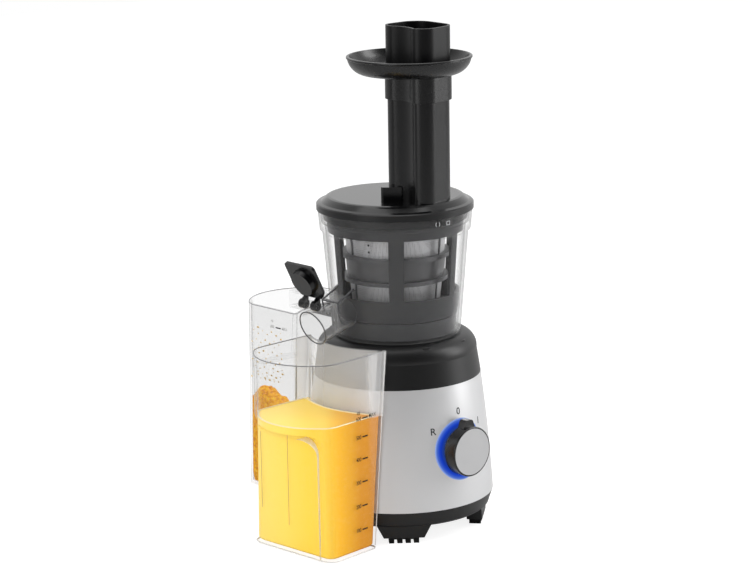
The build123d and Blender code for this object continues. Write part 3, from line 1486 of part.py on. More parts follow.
export_step(feed_tray.part, "parts/feed_tray.step")

with BuildPart() as pusher:
    bean_prism(-chute_wall - slip, pusher_foot, tray_floor + 2)
    bean_prism(pusher_flare, tray_floor + flat_gap, pusher_top)
    bean_prism(-chute_wall - slip - pusher_wall, pusher_foot + 2.5, pusher_top, mode=Mode.SUBTRACT)
    bean_prism(pusher_flare - head_wall, tray_floor + flat_gap + 2.5, pusher_top + 1, mode=Mode.SUBTRACT)
pusher.part.label = "pusher"
export_step(pusher.part, "parts/pusher.step")


# ================================================================ juice jug and pulp container
def between_ends(pair, share):
    """A value part way between its floor and rim values, either a number or a point."""
    if isinstance(pair[0], tuple):
        return tuple(low + (high - low) * share for low, high in zip(*pair))
    return pair[0] + (pair[1] - pair[0]) * share


def vessel_face(height, inset, turn, shift):
    """The vessel's level section at a height, drawn in by an inset."""
    share = height / vessel_height
    bay = between_ends(jug_bay, share) + inset
    half = between_ends(jug_bay_half, share) - inset * 0.8
    bay_end = (sqrt(bay ** 2 - half ** 2), half)
    nose = between_ends(jug_nose, share)
    nose = (nose[0] + inset * 0.95, nose[1] - inset * 0.7)
    side = between_ends(jug_side, share)
    side = (side[0] + inset * 0.4, side[1] - inset)
    shoulder = between_ends(jug_shoulder, share)
    shoulder = (shoulder[0] - inset * 0.2, shoulder[1] - inset)
    corner = between_ends(jug_corner, share)
    corner = (corner[0] - inset * 0.7, corner[1] - inset * 0.7)
    face = between_ends(jug_face, share)
    face = (face[0] - inset * 0.85, face[1] - inset * 0.5)
    reach = between_ends(jug_reach, share) - inset
    place = Plane(
        origin=(axis_x + shift[0], axis_y + shift[1], height),
        x_dir=(cos(radians(turn)), sin(radians(turn)), 0),
        z_dir=(0, 0, 1),
    )
    with BuildSketch(place) as section:
        with BuildLine():
            ThreePointArc((bay_end[0], -bay_end[1]), (bay, 0), bay_end)
            ThreePointArc(bay_end, nose, side)
            Line(side, shoulder)
            ThreePointArc(shoulder, corner, face)
            ThreePointArc(face, (reach, 0), (face[0], -face[1]))
            ThreePointArc((face[0], -face[1]), (corner[0], -corner[1]), (shoulder[0], -shoulder[1]))
            Line((shoulder[0], -shoulder[1]), (side[0], -side[1]))
            ThreePointArc((side[0], -side[1]), (nose[0], -nose[1]), (bay_end[0], -bay_end[1]))
        make_face()
    return section.sketch.face()


def grip_cut(distance, spread, height, turn, shift):
    """The flat grip: all that lies past a distance, under a rounded arch."""
    out = (cos(radians(turn)), sin(radians(turn)))
    place = (axis_x + shift[0] + distance * out[0], axis_y + shift[1] + distance * out[1], 0)
    with BuildSketch(Plane(origin=place, x_dir=(-out[1], out[0], 0), z_dir=(out[0], out[1], 0))) as arch:
        RectangleRounded(2 * spread, 2 * height, grip_corner)
    extrude(arch.sketch, amount=40, mode=Mode.SUBTRACT)


vessel_places = {
    "juice_jug": (180 + jug_turn, (0, 0)),
    "pulp_container": (90, container_shift),
}
cavities = {}
for place_name, (turn, shift) in vessel_places.items():
    with BuildPart() as cavity:
        loft([
            vessel_face(jug_floor, jug_wall, turn, shift),
            vessel_face(vessel_height + 0.5, jug_wall, turn, shift),
        ])
        grip_cut(grip_face - jug_wall, grip_half + jug_wall, grip_top + jug_wall, turn, shift)
    cavities[place_name] = cavity.part

with BuildPart() as juice_jug:
    loft([vessel_face(0, 0, 180 + jug_turn, (0, 0)), vessel_face(vessel_height, 0, 180 + jug_turn, (0, 0))])
    grip_cut(grip_face, grip_half, grip_top, 180 + jug_turn, (0, 0))
    add(cavities["juice_jug"], mode=Mode.SUBTRACT)
juice_jug.part.label = "juice_jug"
export_step(juice_jug.part, "parts/juice_jug.step")

with BuildPart() as pulp_container:
    loft([vessel_face(0, 0, 90, container_shift), vessel_face(vessel_height, 0, 90, container_shift)])
    grip_cut(grip_face, grip_half, grip_top, 90, container_shift)
    add(cavities["pulp_container"], mode=Mode.SUBTRACT)
pulp_container.part.label = "pulp_container"
export_step(pulp_container.part, "parts/pulp_container.step")
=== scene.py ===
"""Looks of a cold press juicer: silver motor base, clear bowl, feed chute with its tray,
juice jug and pulp container."""

import math

import bmesh
import bpy
from mathutils import Matrix, Vector, noise


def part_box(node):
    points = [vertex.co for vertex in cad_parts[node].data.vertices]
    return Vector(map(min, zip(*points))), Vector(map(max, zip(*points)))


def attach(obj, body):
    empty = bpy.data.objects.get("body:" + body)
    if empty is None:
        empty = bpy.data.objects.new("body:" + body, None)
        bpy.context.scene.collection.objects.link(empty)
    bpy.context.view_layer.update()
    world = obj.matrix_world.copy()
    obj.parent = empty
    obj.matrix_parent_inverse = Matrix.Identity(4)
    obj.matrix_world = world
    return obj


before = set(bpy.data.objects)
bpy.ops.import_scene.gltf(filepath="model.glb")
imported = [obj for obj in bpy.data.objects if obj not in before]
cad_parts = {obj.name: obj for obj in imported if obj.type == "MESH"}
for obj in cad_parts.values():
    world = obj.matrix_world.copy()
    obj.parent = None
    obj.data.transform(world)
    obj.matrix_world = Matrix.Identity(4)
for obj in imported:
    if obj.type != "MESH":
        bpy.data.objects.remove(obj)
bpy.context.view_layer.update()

# ---- the machine's own axis
# Everything round in the machine turns about one upright line, the drive shaft's. Places are given
# from that line in millimetres, with heights above the worktop.
mm = 0.001
shaft_low, shaft_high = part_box("drive_shaft")
axis_x = (shaft_low.x + shaft_high.x) / 2
axis_y = (shaft_low.y + shaft_high.y) / 2


def place(x, y, z):
    """A point given in millimetres from the machine's axis."""
    return Vector((axis_x + x * mm, axis_y + y * mm, z * mm))


# ---- silver shell of the motor base
# Drawn and rolled steel, painted a satin silver. The paint holds fine metal flake, so it shines
# softly and evenly, with no brush lines, and picks up a broad light and dark side.
def colour(code):
    """A colour written as sRGB hex, as linear values."""
    parts = [int(code[i:i + 2], 16) / 255 for i in (1, 3, 5)]
    return tuple(v / 12.92 if v <= 0.04045 else ((v + 0.055) / 1.055) ** 2.4
                 for v in parts) + (1.0,)


def add_node(tree, kind, links=None, **settings):
    """Adds a node, sets it up, and gives each named input a value or joins it to an output."""
    made = tree.nodes.new(kind)
    for name, value in settings.items():
        setattr(made, name, value)
    for name, value in (links or {}).items():
        if isinstance(value, bpy.types.NodeSocket):
            tree.links.new(value, made.inputs[name])
        else:
            made.inputs[name].default_value = value
    return made


def new_material(name):
    """An empty material and its node tree."""
    material = bpy.data.materials.new(name)
    material.use_nodes = True
    material.node_tree.nodes.clear()
    return material, material.node_tree


def dress(material, *nodes):
    """Gives CAD nodes their material."""
    for name in nodes:
        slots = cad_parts[name].data.materials
        slots.clear()
        slots.append(material)


def grained(name, base, shade, roughness, grain_mm, depth_mm, metallic=0.0, coat=0.0, shine=0.5):
    """A solid surface with a fine grain: two close tones, uneven gloss and a slight relief.

    The tones drift over some 36 mm. Gloss and relief vary at the grain's own size."""
    material, tree = new_material(name)
    where = add_node(tree, "ShaderNodeTexCoord")
    grain = add_node(tree, "ShaderNodeTexNoise", {
        "Vector": where.outputs["Object"], "Scale": 1000 / grain_mm, "Detail": 3.0,
        "Roughness": 0.6})
    cloud = add_node(tree, "ShaderNodeTexNoise", {
        "Vector": where.outputs["Object"], "Scale": 28.0, "Detail": 2.0})
    tone = add_node(tree, "ShaderNodeMix", {
        "Factor": cloud.outputs["Fac"], "A": colour(base), "B": colour(shade)}, data_type="RGBA")
    gloss = add_node(tree, "ShaderNodeMapRange", {
        "Value": grain.outputs["Fac"], "To Min": roughness * 0.85, "To Max": roughness * 1.15})
    relief = add_node(tree, "ShaderNodeBump", {
        "Height": grain.outputs["Fac"], "Strength": 0.25, "Distance": depth_mm * mm})
    body = add_node(tree, "ShaderNodeBsdfPrincipled", {
        "Base Color": tone.outputs["Result"], "Roughness": gloss.outputs["Result"],
        "Metallic": metallic, "Specular IOR Level": shine, "Coat Weight": coat,
        "Coat Roughness": 0.2, "Normal": relief.outputs["Normal"]})
    add_node(tree, "ShaderNodeOutputMaterial", {"Surface": body.outputs["BSDF"]})
    return material


silver_paint = grained("satin_silver_paint", "#dadadb", "#d6d6d7", 0.34, 0.8, 0.01, metallic=0.6)
dress(silver_paint, "base_shell")

# ---- black mouldings of the base: top cover, bottom pan with its feet
# ABS moulded in a fine spark texture. It stays near black and gives broad soft highlights. The
# feet are pressed into the pan, of a dull rubber that hardly shines.
black_abs = grained("textured_black_abs", "#0c0c0d", "#101011", 0.4, 0.6, 0.02, shine=0.4)
dress(black_abs, "top_cover", "bottom_pan")
foot_rubber = grained("black_foot_rubber", "#0e0e0e", "#141414", 0.8, 0.5, 0.03, shine=0.3)
dress(foot_rubber, "rubber_feet", "cord_gland", "shaft_seal")

# ---- rotary knob and its light ring
# The knob is gloss black ABS with a pointer on its back edge. Its face is a thin satin metal disc,
# let in flush. The ring behind it is frosted polycarbonate, lit blue from inside: deep blue near
# the knob, paler outside.
knob_height = 70.0
ring_inner, ring_outer = 16.0, 23.6
knob_black = grained("gloss_black_abs", "#0e0e0f", "#131314", 0.22, 1.0, 0.01, coat=0.2,
                     shine=0.4)
dress(knob_black, "knob")
knob_face = grained("satin_silver_disc", "#c6c6c7", "#bebebf", 0.3, 0.7, 0.01, metallic=0.7)
dress(knob_face, "knob_disc")
ring_light, tree = new_material("lit_frosted_polycarbonate")
where = add_node(tree, "ShaderNodeNewGeometry")
from_knob = add_node(tree, "ShaderNodeVectorMath", {
    0: where.outputs["Position"], 1: tuple(place(0, 0, knob_height))}, operation="SUBTRACT")
level_only = add_node(tree, "ShaderNodeVectorMath", {
    0: from_knob.outputs["Vector"], 1: (1.0, 0.0, 1.0)}, operation="MULTIPLY")
reach = add_node(tree, "ShaderNodeVectorMath", {0: level_only.outputs["Vector"]},
                 operation="LENGTH")
outward = add_node(tree, "ShaderNodeMapRange", {
    "Value": reach.outputs["Value"], "From Min": ring_inner * mm, "From Max": ring_outer * mm})
glow_tone = add_node(tree, "ShaderNodeValToRGB", {"Fac": outward.outputs["Result"]})
glow_tone.color_ramp.elements[0].color = colour("#24376a")
glow_tone.color_ramp.elements[1].color = colour("#8ea6e4")
for share, code in ((0.2, "#1f3c92"), (0.42, "#1236b0"), (0.62, "#2549c4"), (0.85, "#4a6cc4")):
    glow_tone.color_ramp.elements.new(share).color = colour(code)
glow = add_node(tree, "ShaderNodeEmission", {"Color": glow_tone.outputs["Color"],
                                             "Strength": 1.0})
add_node(tree, "ShaderNodeOutputMaterial", {"Surface": glow.outputs["Emission"]})
dress(ring_light, "light_ring")

# ---- marks round the knob: R, 0 and 1
# Reverse, off and on, pad printed straight on the silver paint. The ink is a dark grey that stands
# a tenth of a millimetre proud and dries without a shine.
shell_foot, shell_tall = 26.0, 93.5
shell_radius, shell_taper, shell_bulge, shell_lean = 73.5, 9.0, 3.2, 0.1
letter_middle, letter_half = 0.09, 0.03
font_per_capital, letter_weight = 1.4, 0.012


def shell_spot(across, up):
    """A point on the silver shell's front, by its distance across and height, and its way out."""
    share = (up - shell_foot) / shell_tall
    radius = shell_radius - shell_taper * share + shell_bulge * share * (1 - share)
    depth = math.sqrt(radius ** 2 - across ** 2)
    way = Vector((across, -depth, radius * shell_lean)).normalized()
    return Vector((across, -depth, up)), way


def shifted(surface, right, up):
    """A surface taken round another of its points: so far to the right, and so far up."""
    return lambda u, v: surface(u + right, v + up)


def finish_piece(name, mesh, material, body):
    """Puts a mesh in the scene as a piece that rides on a body."""
    mesh.materials.clear()
    mesh.materials.append(material)
    made = bpy.data.objects.new(name, mesh)
    bpy.context.scene.collection.objects.link(made)
    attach(made, body)


def traced(name, outline):
    """The mesh of a text or a line, whose own object is then cleared away."""
    holder = bpy.data.objects.new(name + "_outline", outline)
    mesh = bpy.data.meshes.new_from_object(holder)
    bpy.data.objects.remove(holder)
    return mesh


def printed(name, words, size, surface, material, body, stretch=1.0):
    """Letters of printed ink, as high as size, laid on a surface.

    A surface gives the point at a distance right and up, and its outward way."""
    letters = bpy.data.curves.new(name, "FONT")
    letters.body = words
    letters.size = size * font_per_capital
    letters.align_x = "CENTER"
    letters.align_y = "CENTER"
    letters.extrude = letter_half
    letters.offset = letter_weight * size
    letters.resolution_u = 4
    mesh = traced(name, letters)
    for corner in mesh.vertices:
        spot, way = surface(corner.co.x * stretch, corner.co.y)
        spot = spot + way * (letter_middle + corner.co.z)
        corner.co = place(*spot)
    finish_piece(name, mesh, material, body)


dark_ink = grained("dark_grey_pad_ink", "#2c2c2e", "#343436", 0.5, 0.3, 0.003, shine=0.3)
mark_size = 5.4
mark_reach = 29.0
for mark, angle in (("R", -55), ("0", 0), ("1", 55)):
    mark_x = mark_reach * math.sin(math.radians(angle))
    mark_z = knob_height + mark_reach * math.cos(math.radians(angle))
    printed("mark_" + mark, mark, mark_size, shifted(shell_spot, mark_x, mark_z), dark_ink,
            "base")

# ---- inner works of the base
# Motor, gear train, bearings, switches and board, screwed and pressed together under the shell.
# Plated and turned steels are bluish and bright, each with the gloss of its last cut.
zinc_steel = grained("zinc_plated_steel", "#b4b6ba", "#a3a6ab", 0.35, 1.2, 0.01, metallic=1.0)
dress(zinc_steel, "tie_screws", "motor_screws", "motor_can")
ground_steel = grained("ground_bearing_steel", "#c9cacc", "#bfc0c3", 0.2, 0.5, 0.005,
                       metallic=1.0)
dress(ground_steel, "motor_bearings", "drive_bearings", "gear_pins", "drive_shaft", "idler_pin",
      "interlock_spring")
# Stacked core sheets look darker and rougher, and wound wire shows as fine varnished ridges.
core_steel = grained("laminated_core_steel", "#7d7f83", "#6b6d70", 0.45, 0.5, 0.05, metallic=0.9)
dress(core_steel, "motor_stator", "motor_rotor")
copper_wire = grained("enamelled_copper_wire", "#b4622f", "#8e4520", 0.3, 0.6, 0.15,
                      metallic=0.8)
dress(copper_wire, "motor_windings")
aluminium = grained("turned_aluminium", "#c3c5c8", "#b3b5b9", 0.3, 0.4, 0.01, metallic=1.0)
dress(aluminium, "bearing_spacer")
brass = grained("cut_brass", "#c7a45a", "#b59044", 0.28, 0.5, 0.01, metallic=1.0)
dress(brass, "motor_pinion", "switch_shaft")
# Moulded gears are a milky white, glass filled housings a dull charcoal, and the board is coated
# in a glossy green mask.
acetal = grained("white_acetal", "#e9e8e2", "#e1e0d8", 0.4, 0.8, 0.01)
dress(acetal, "first_gear", "second_gear", "output_gear")
glass_nylon = grained("glass_filled_nylon", "#2a2b2d", "#323335", 0.5, 0.7, 0.03)
dress(glass_nylon, "gearbox_case", "gearbox_lid", "motor_end_bell", "cooling_fan",
      "rotary_switch", "safety_switch", "bowl_plunger")
circuit_board = grained("green_solder_mask", "#1d5a38", "#174a2d", 0.35, 1.0, 0.02)
dress(circuit_board, "control_board")

# ---- dark mouldings in the bowl: floor insert, wiper, idler gear and auger
# Food safe plastics moulded in dark grey, wet looking where the juice runs over them. The wiper
# frame is duller, and its silicone blades and the seal duller still.
auger_grey = grained("dark_grey_food_plastic", "#3b3b3d", "#444446", 0.3, 0.9, 0.01)
dress(auger_grey, "auger", "idler_gear")
insert_grey = grained("charcoal_food_plastic", "#29292b", "#2f2f31", 0.34, 0.9, 0.01)
dress(insert_grey, "bowl_insert")
wiper_grey = grained("dark_grey_soft_plastic", "#2b2b2d", "#303032", 0.4, 0.9, 0.01, shine=0.4)
dress(wiper_grey, "wiper_frame")
silicone = grained("dark_silicone", "#353537", "#3c3c3e", 0.55, 0.5, 0.02)
dress(silicone, "wiper_blades", "bowl_seal")

# ---- strainer
# A grey moulded frame holds two cones of etched stainless sheet, which look pale between dark
# holes. The real holes are 0.3 mm, too fine to show, so they are drawn 1.4 mm apart.
hole_pitch = 1.4
strainer_grey = grained("mid_grey_food_plastic", "#48484a", "#505052", 0.35, 0.9, 0.01)
dress(strainer_grey, "strainer_frame")
sieve_steel, tree = new_material("etched_stainless_sheet")
where = add_node(tree, "ShaderNodeTexCoord")
holes = add_node(tree, "ShaderNodeTexVoronoi", {
    "Vector": where.outputs["Object"], "Scale": 1000 / hole_pitch, "Randomness": 0.2})
open_hole = add_node(tree, "ShaderNodeMapRange", {
    "Value": holes.outputs["Distance"], "From Min": 0.2, "From Max": 0.35})
sheet_tone = add_node(tree, "ShaderNodeMix", {
    "Factor": open_hole.outputs["Result"], "A": colour("#868688"), "B": colour("#cacacc")},
    data_type="RGBA")
sheet = add_node(tree, "ShaderNodeBsdfPrincipled", {
    "Base Color": sheet_tone.outputs["Result"], "Metallic": 0.4, "Roughness": 0.4})
add_node(tree, "ShaderNodeOutputMaterial", {"Surface": sheet.outputs["BSDF"]})
dress(sieve_steel, "strainer_sieve")

# ---- lid, chute, tray, pusher and spout cap
# Black ABS, polished in the mould, so that long upright faces carry clean light bands. The tray is
# a little duller, and the pusher is left matt where hands hold it.
lid_black = grained("polished_black_abs", "#040405", "#080809", 0.22, 1.0, 0.008, coat=0.1,
                    shine=0.35)
dress(lid_black, "lid", "spout_cap")
tray_black = grained("satin_black_abs", "#060607", "#0a0a0b", 0.28, 0.8, 0.01, shine=0.45)
dress(tray_black, "feed_tray")
pusher_black = grained("matt_black_abs", "#070708", "#0b0b0c", 0.38, 0.8, 0.01, shine=0.25)
dress(pusher_black, "pusher")

# ---- clear bowl, juice jug and pulp container
# Clear copolyester, moulded and polished. Looked at square on it is nearly invisible. Where the
# wall turns away from the eye its colour is mixed towards a grey, a painted reflection of the room,
# so rims and edges draw as thin dark lines.
juice_top = 102.8


def clear_plastic(name, veil, edge, edge_start, edge_share, body_tone, tint, thick_veil_zone=None):
    """Thin clear plastic: a faint veil face on, which thickens towards its edges and there turns
    grey, a painted reflection.

    Thick_veil_zone gives a node, a reach from the machine's axis within which its veil is thicker,
    that veil, and the height up to which juice wets the inside and hides the veil."""
    material, tree = new_material(name)
    where = add_node(tree, "ShaderNodeTexCoord")
    flow = add_node(tree, "ShaderNodeTexNoise", {
        "Vector": where.outputs["Object"], "Scale": 30.0, "Detail": 1.0})
    ripple = add_node(tree, "ShaderNodeBump", {
        "Height": flow.outputs["Fac"], "Strength": 0.05, "Distance": 0.5 * mm})
    turned_away = add_node(tree, "ShaderNodeLayerWeight", {"Blend": 0.5})
    rim = add_node(tree, "ShaderNodeMapRange", {
        "Value": turned_away.outputs["Facing"], "From Min": edge_start, "From Max": 1.0},
        interpolation_type="SMOOTHSTEP")
    # Painted reflection: the colour turns to the edge grey as the wall turns away from the eye.
    tone = add_node(tree, "ShaderNodeMix", {
        "Factor": rim.outputs["Result"], "A": colour(body_tone), "B": colour(edge)},
        data_type="RGBA")
    cover = add_node(tree, "ShaderNodeMapRange", {
        "Value": rim.outputs["Result"], "To Min": veil, "To Max": edge_share})
    if thick_veil_zone:
        node, reach, zone_veil, wet_height = thick_veil_zone
        fade, shore, wet_share = 4.0, 0.3, 0.15
        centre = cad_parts[node].matrix_world.inverted() @ place(0, 0, 0)
        offset = add_node(tree, "ShaderNodeVectorMath", {
            0: where.outputs["Object"], 1: tuple(centre)}, operation="SUBTRACT")
        level_only = add_node(tree, "ShaderNodeVectorMath", {
            0: offset.outputs["Vector"], 1: (1.0, 1.0, 0.0)}, operation="MULTIPLY")
        away = add_node(tree, "ShaderNodeVectorMath", {0: level_only.outputs["Vector"]},
                        operation="LENGTH")
        inner = add_node(tree, "ShaderNodeMapRange", {
            "Value": away.outputs["Value"], "From Min": reach * mm,
            "From Max": (reach + fade) * mm, "To Min": zone_veil, "To Max": veil})
        tree.links.new(inner.outputs["Result"], cover.inputs["To Min"])
        parts = add_node(tree, "ShaderNodeSeparateXYZ", {"Vector": offset.outputs["Vector"]})
        dry = add_node(tree, "ShaderNodeMapRange", {
            "Value": parts.outputs["Z"], "From Min": (wet_height - shore) * mm,
            "From Max": wet_height * mm, "To Min": wet_share})
        cover = add_node(tree, "ShaderNodeMath", {
            0: cover.outputs["Result"], 1: dry.outputs["Result"]}, operation="MULTIPLY")
    see_through = add_node(tree, "ShaderNodeBsdfTransparent", {"Color": colour(tint)})
    wall = add_node(tree, "ShaderNodeBsdfPrincipled", {
        "Base Color": tone.outputs["Result"], "Roughness": 0.08, "IOR": 1.54,
        "Normal": ripple.outputs["Normal"]})
    mixed = add_node(tree, "ShaderNodeMixShader", {
        0: cover.outputs[0], 1: see_through.outputs["BSDF"], 2: wall.outputs["BSDF"]})
    add_node(tree, "ShaderNodeOutputMaterial", {"Surface": mixed.outputs["Shader"]})
    return material


bowl_clear = clear_plastic("clear_copolyester_bowl", 0.02, "#808080", 0.46, 0.55, "#e8e8e8",
                           "#fcfcfc")
dress(bowl_clear, "bowl")
# Within 80 mm of the machine's axis the jug's wall carries a thicker pale veil.
jug_clear = clear_plastic("clear_copolyester_jug", 0.015, "#7a7a7a", 0.6, 0.55, "#fafafa",
                          "#ffffff", ("juice_jug", 80, 0.28, juice_top + 0.1))
dress(jug_clear, "juice_jug")
container_clear = clear_plastic("clear_copolyester_container", 0.006, "#7a7a7a", 0.62, 0.5,
                                "#fafafa", "#f4f4f4")
dress(container_clear, "pulp_container")

# ---- printed scale on the jug and on the pulp container
# Both vessels are the same moulding, set down in two places. Black silk-screen ink on the outside
# of the flat side wall gives the jug a tick every 100 ml, and both a top tick with MAX.
vessel_tall = 151.5
ink_low, ink_high = 0.05, 0.12
# A place is a turn in degrees and a shift.
jug_place = (183.0, (0.0, 0.0))
container_place = (90.0, (20.0, 41.0))
# Each size of the moulding is given at its foot and at its rim: how far along the vessel, and how
# far aside of its middle line. The side wall is flat between these two.
side_along, side_aside = (72.0, 57.5), (41.8, 40.0)
shoulder_along, shoulder_aside = (109.0, 104.0), (43.4, 40.8)


def at_height(size, height):
    """A size of the moulding at a height, between its foot and its rim."""
    foot, rim = size
    return foot + (rim - foot) * (height / vessel_tall)


def set_down(x, y, turn, shift):
    """A vessel's own point, turned and shifted to where the vessel stands."""
    cos_t, sin_t = math.cos(math.radians(turn)), math.sin(math.radians(turn))
    return x * cos_t - y * sin_t + shift[0], x * sin_t + y * cos_t + shift[1]


def wall_surface(tick_x, height, turn, shift):
    """The flat side wall of a vessel as a surface round a point on it: right is to its bay."""
    out = set_down(0.0, 1.0, turn, (0.0, 0.0))

    def surface(across, up):
        level = height + up
        near = (at_height(side_along, level), at_height(side_aside, level))
        far = (at_height(shoulder_along, level), at_height(shoulder_aside, level))
        x = tick_x - across
        y = near[1] + (far[1] - near[1]) * (x - near[0]) / (far[0] - near[0])
        return Vector((*set_down(x, y, turn, shift), level)), Vector((*out, 0.01))

    return surface


def mesh_from(name, form):
    """The finished mesh of the faces drawn so far."""
    mesh = bpy.data.meshes.new(name)
    form.to_mesh(mesh)
    form.free()
    return mesh


def inked(name, shapes, surface, material, body):
    """Flat shapes of printed ink, each a closed outline, laid on a surface."""
    form = bmesh.new()
    for outline in shapes:
        rows = []
        for lift in (ink_low, ink_high):
            row = []
            for u, v in outline:
                spot, way = surface(u, v)
                row.append(form.verts.new(place(*(spot + way * lift))))
            rows.append(row)
        form.faces.new(rows[0][::-1])
        form.faces.new(rows[1])
        for i in range(len(outline)):
            j = (i + 1) % len(outline)
            form.faces.new((rows[0][i], rows[0][j], rows[1][j], rows[1][i]))
    bmesh.ops.recalc_face_normals(form, faces=form.faces)
    finish_piece(name, mesh_from(name, form), material, body)


def tick(long, thick):
    """A tick as a closed outline, from a surface's own point to the left."""
    half = thick / 2
    return [(-long, -half), (0.0, -half), (0.0, half), (-long, half)]


black_ink = grained("black_screen_ink", "#0e0c09", "#14120e", 0.5, 0.3, 0.003, shine=0.2)
narrow = 0.85
jug_figure = 3.0
top_tick = (74.9, 105.0)
for level, tick_x, height in ((600, *top_tick), (500, 75.2, 90.7), (400, 75.8, 73.7),
                              (300, 76.5, 56.1), (200, 77.2, 37.7), (100, 77.8, 19.3)):
    wall = wall_surface(tick_x, height, *jug_place)
    inked("jug_tick_%d" % level, [tick(5.8, 1.1)], wall, black_ink, "juice_jug")
    printed("jug_number_%d" % level, str(level), jug_figure, shifted(wall, -9.8, 0.0), black_ink,
            "juice_jug", narrow)
wall = wall_surface(*top_tick, *jug_place)
for part, words, right, up in (("unit", "ml", -9.8, 4.6), ("max", "MAX", 5.2, 0.2)):
    printed("jug_" + part, words, jug_figure, shifted(wall, right, up), black_ink, "juice_jug",
            narrow)

# The container's figures have worn to a pale grey.
container_figure = 2.5
wall = wall_surface(72.9, 136.6, *container_place)
inked("container_tick", [tick(6.2, 1.0)], wall, black_ink, "pulp_container")
faded_ink = grained("worn_grey_screen_ink", "#9a9a9a", "#b4b4b4", 0.5, 0.3, 0.003, shine=0.3)
for part, words, right, up in (("number", "800", -10.4, 0.0), ("unit", "ml", -10.4, 4.8),
                               ("max", "MAX", 4.4, 0.0)):
    printed("container_" + part, words, container_figure, shifted(wall, right, up), faded_ink,
            "pulp_container", narrow)

# ---- lock marks on the bowl and dots on the strainer
# Pad printed signs: a dark arrow and two dots that are lined up when the parts go together, and a
# pale pair of brackets and a box that show which way the lid turns shut.
wedge_height = 155.8
wedge_radius = 49.5 + 6.5 * (wedge_height - 151) / 80


def ring_spot(radius, slope, height, angle):
    """A round wall as a surface round a point: right runs along the wall, seen from outside."""
    def surface(across, up):
        r = radius + slope * up
        turn = math.radians(angle) + across / radius
        way = Vector((math.cos(turn), math.sin(turn), 0.0))
        return Vector((r * way.x, r * way.y, height + up)), way

    return surface


def stroke(start, end, width):
    """A straight stroke of ink as a closed outline."""
    along = Vector((end[0] - start[0], end[1] - start[1])).normalized()
    aside = Vector((-along.y, along.x)) * width / 2
    first, last = Vector(start), Vector(end)
    return [tuple(first + aside), tuple(first - aside), tuple(last - aside), tuple(last + aside)]


def dot(radius, up):
    """A round dot of ink as a closed outline."""
    turns = [math.radians(30 * i) for i in range(12)]
    return [(radius * math.cos(t), up + radius * math.sin(t)) for t in turns]


bowl_foot = ring_spot(wedge_radius, 0.081, wedge_height, -86.5)
bowl_band = ring_spot(59.3, 0.08, 243.6, -95.0)
strainer_wall = ring_spot(38.3, 0.09, 222.0, -165.0)
inked("shut_arrow", [((-1.5, 1.9), (0.0, -1.9), (1.5, 1.9))], bowl_foot, dark_ink, "bowl")
pale_ink = grained("pale_grey_pad_ink", "#c8c8ca", "#d0d0d2", 0.5, 0.3, 0.003, shine=0.3)
bracket_lines = [[(-7.0, 1.6), (-7.6, 0.0), (-7.0, -1.6)],
                 [(-4.6, 1.6), (-4.0, 0.0), (-4.6, -1.6)]]
box_lines = [[(2.6, 1.6), (2.6, -1.6)], [(2.6, 1.4), (5.6, 1.4)],
             [(5.6, 1.6), (5.6, -1.6)], [(2.6, -1.4), (5.6, -1.4)]]
lock_signs = [stroke(start, end, 0.4) for line in bracket_lines + box_lines
              for start, end in zip(line, line[1:])]
inked("lock_signs", lock_signs, bowl_band, pale_ink, "bowl")
for number, up in enumerate((2.85, -2.55)):
    inked("strainer_dot_%d" % number, [dot(0.9, up)], strainer_wall, dark_ink, "bowl")

# ---- polished rims of the clear vessels, the spout's mouth and the spout's brace
# The top edges are rounded over and flame polished. The dark of the room mirrored in such an edge
# is painted: an opaque grey bead laid along it draws a fine line, darker where the wall is thicker.
rim_bead, rim_inset = 0.4, 0.45
spout_lean = math.radians(20.0)
mouth_x, mouth_height, mouth_up, mouth_half, mouth_proud = -86.0, 167.6, 13.7, 13.4, 0.2
brace_half = 8.7
brace_side = [(-51.6, 193.1), (-54.0, 192.1), (-68.3, 185.2), (-66.6, 176.0)]
# The rest of the vessels' outline, at foot and rim: a round bay for the machine, a nose beside it,
# a corner, and a face where the rounded front starts.
bay_radius, bay_half = (76.0, 67.0), (32.5, 38.0)
nose_along, nose_aside = (67.0, 53.6), (39.0, 39.6)
corner_along, corner_aside = (115.0, 114.5), (41.2, 38.2)
face_along, face_aside = (117.6, 121.0), (36.0, 33.0)
front_along = (131.0, 135.0)
bay_steps, corner_steps, side_steps, front_steps = 20, 5, 8, 24
grip_flat = 118.3
arch_foot, arch_radius, arch_flat = 84.0, 13.0, 22.0


def arc_points(start, middle, end, steps):
    """Points along the circle through three points, in even steps from the first to the last."""
    a, b, c = (Vector((p[0], p[1])) for p in (start, middle, end))
    d = 2 * (a.x * (b.y - c.y) + b.x * (c.y - a.y) + c.x * (a.y - b.y))
    centre_x = (a.dot(a) * (b.y - c.y) + b.dot(b) * (c.y - a.y) + c.dot(c) * (a.y - b.y)) / d
    centre_y = (a.dot(a) * (c.x - b.x) + b.dot(b) * (a.x - c.x) + c.dot(c) * (b.x - a.x)) / d
    radius = (a - Vector((centre_x, centre_y))).length
    angles = [math.atan2(p.y - centre_y, p.x - centre_x) for p in (a, b, c)]
    for later in (1, 2):
        while angles[later] - angles[later - 1] > math.pi:
            angles[later] -= 2 * math.pi
        while angles[later] - angles[later - 1] < -math.pi:
            angles[later] += 2 * math.pi
    turns = [angles[0] + (angles[2] - angles[0]) * i / steps for i in range(steps + 1)]
    return [(centre_x + radius * math.cos(t), centre_y + radius * math.sin(t)) for t in turns]


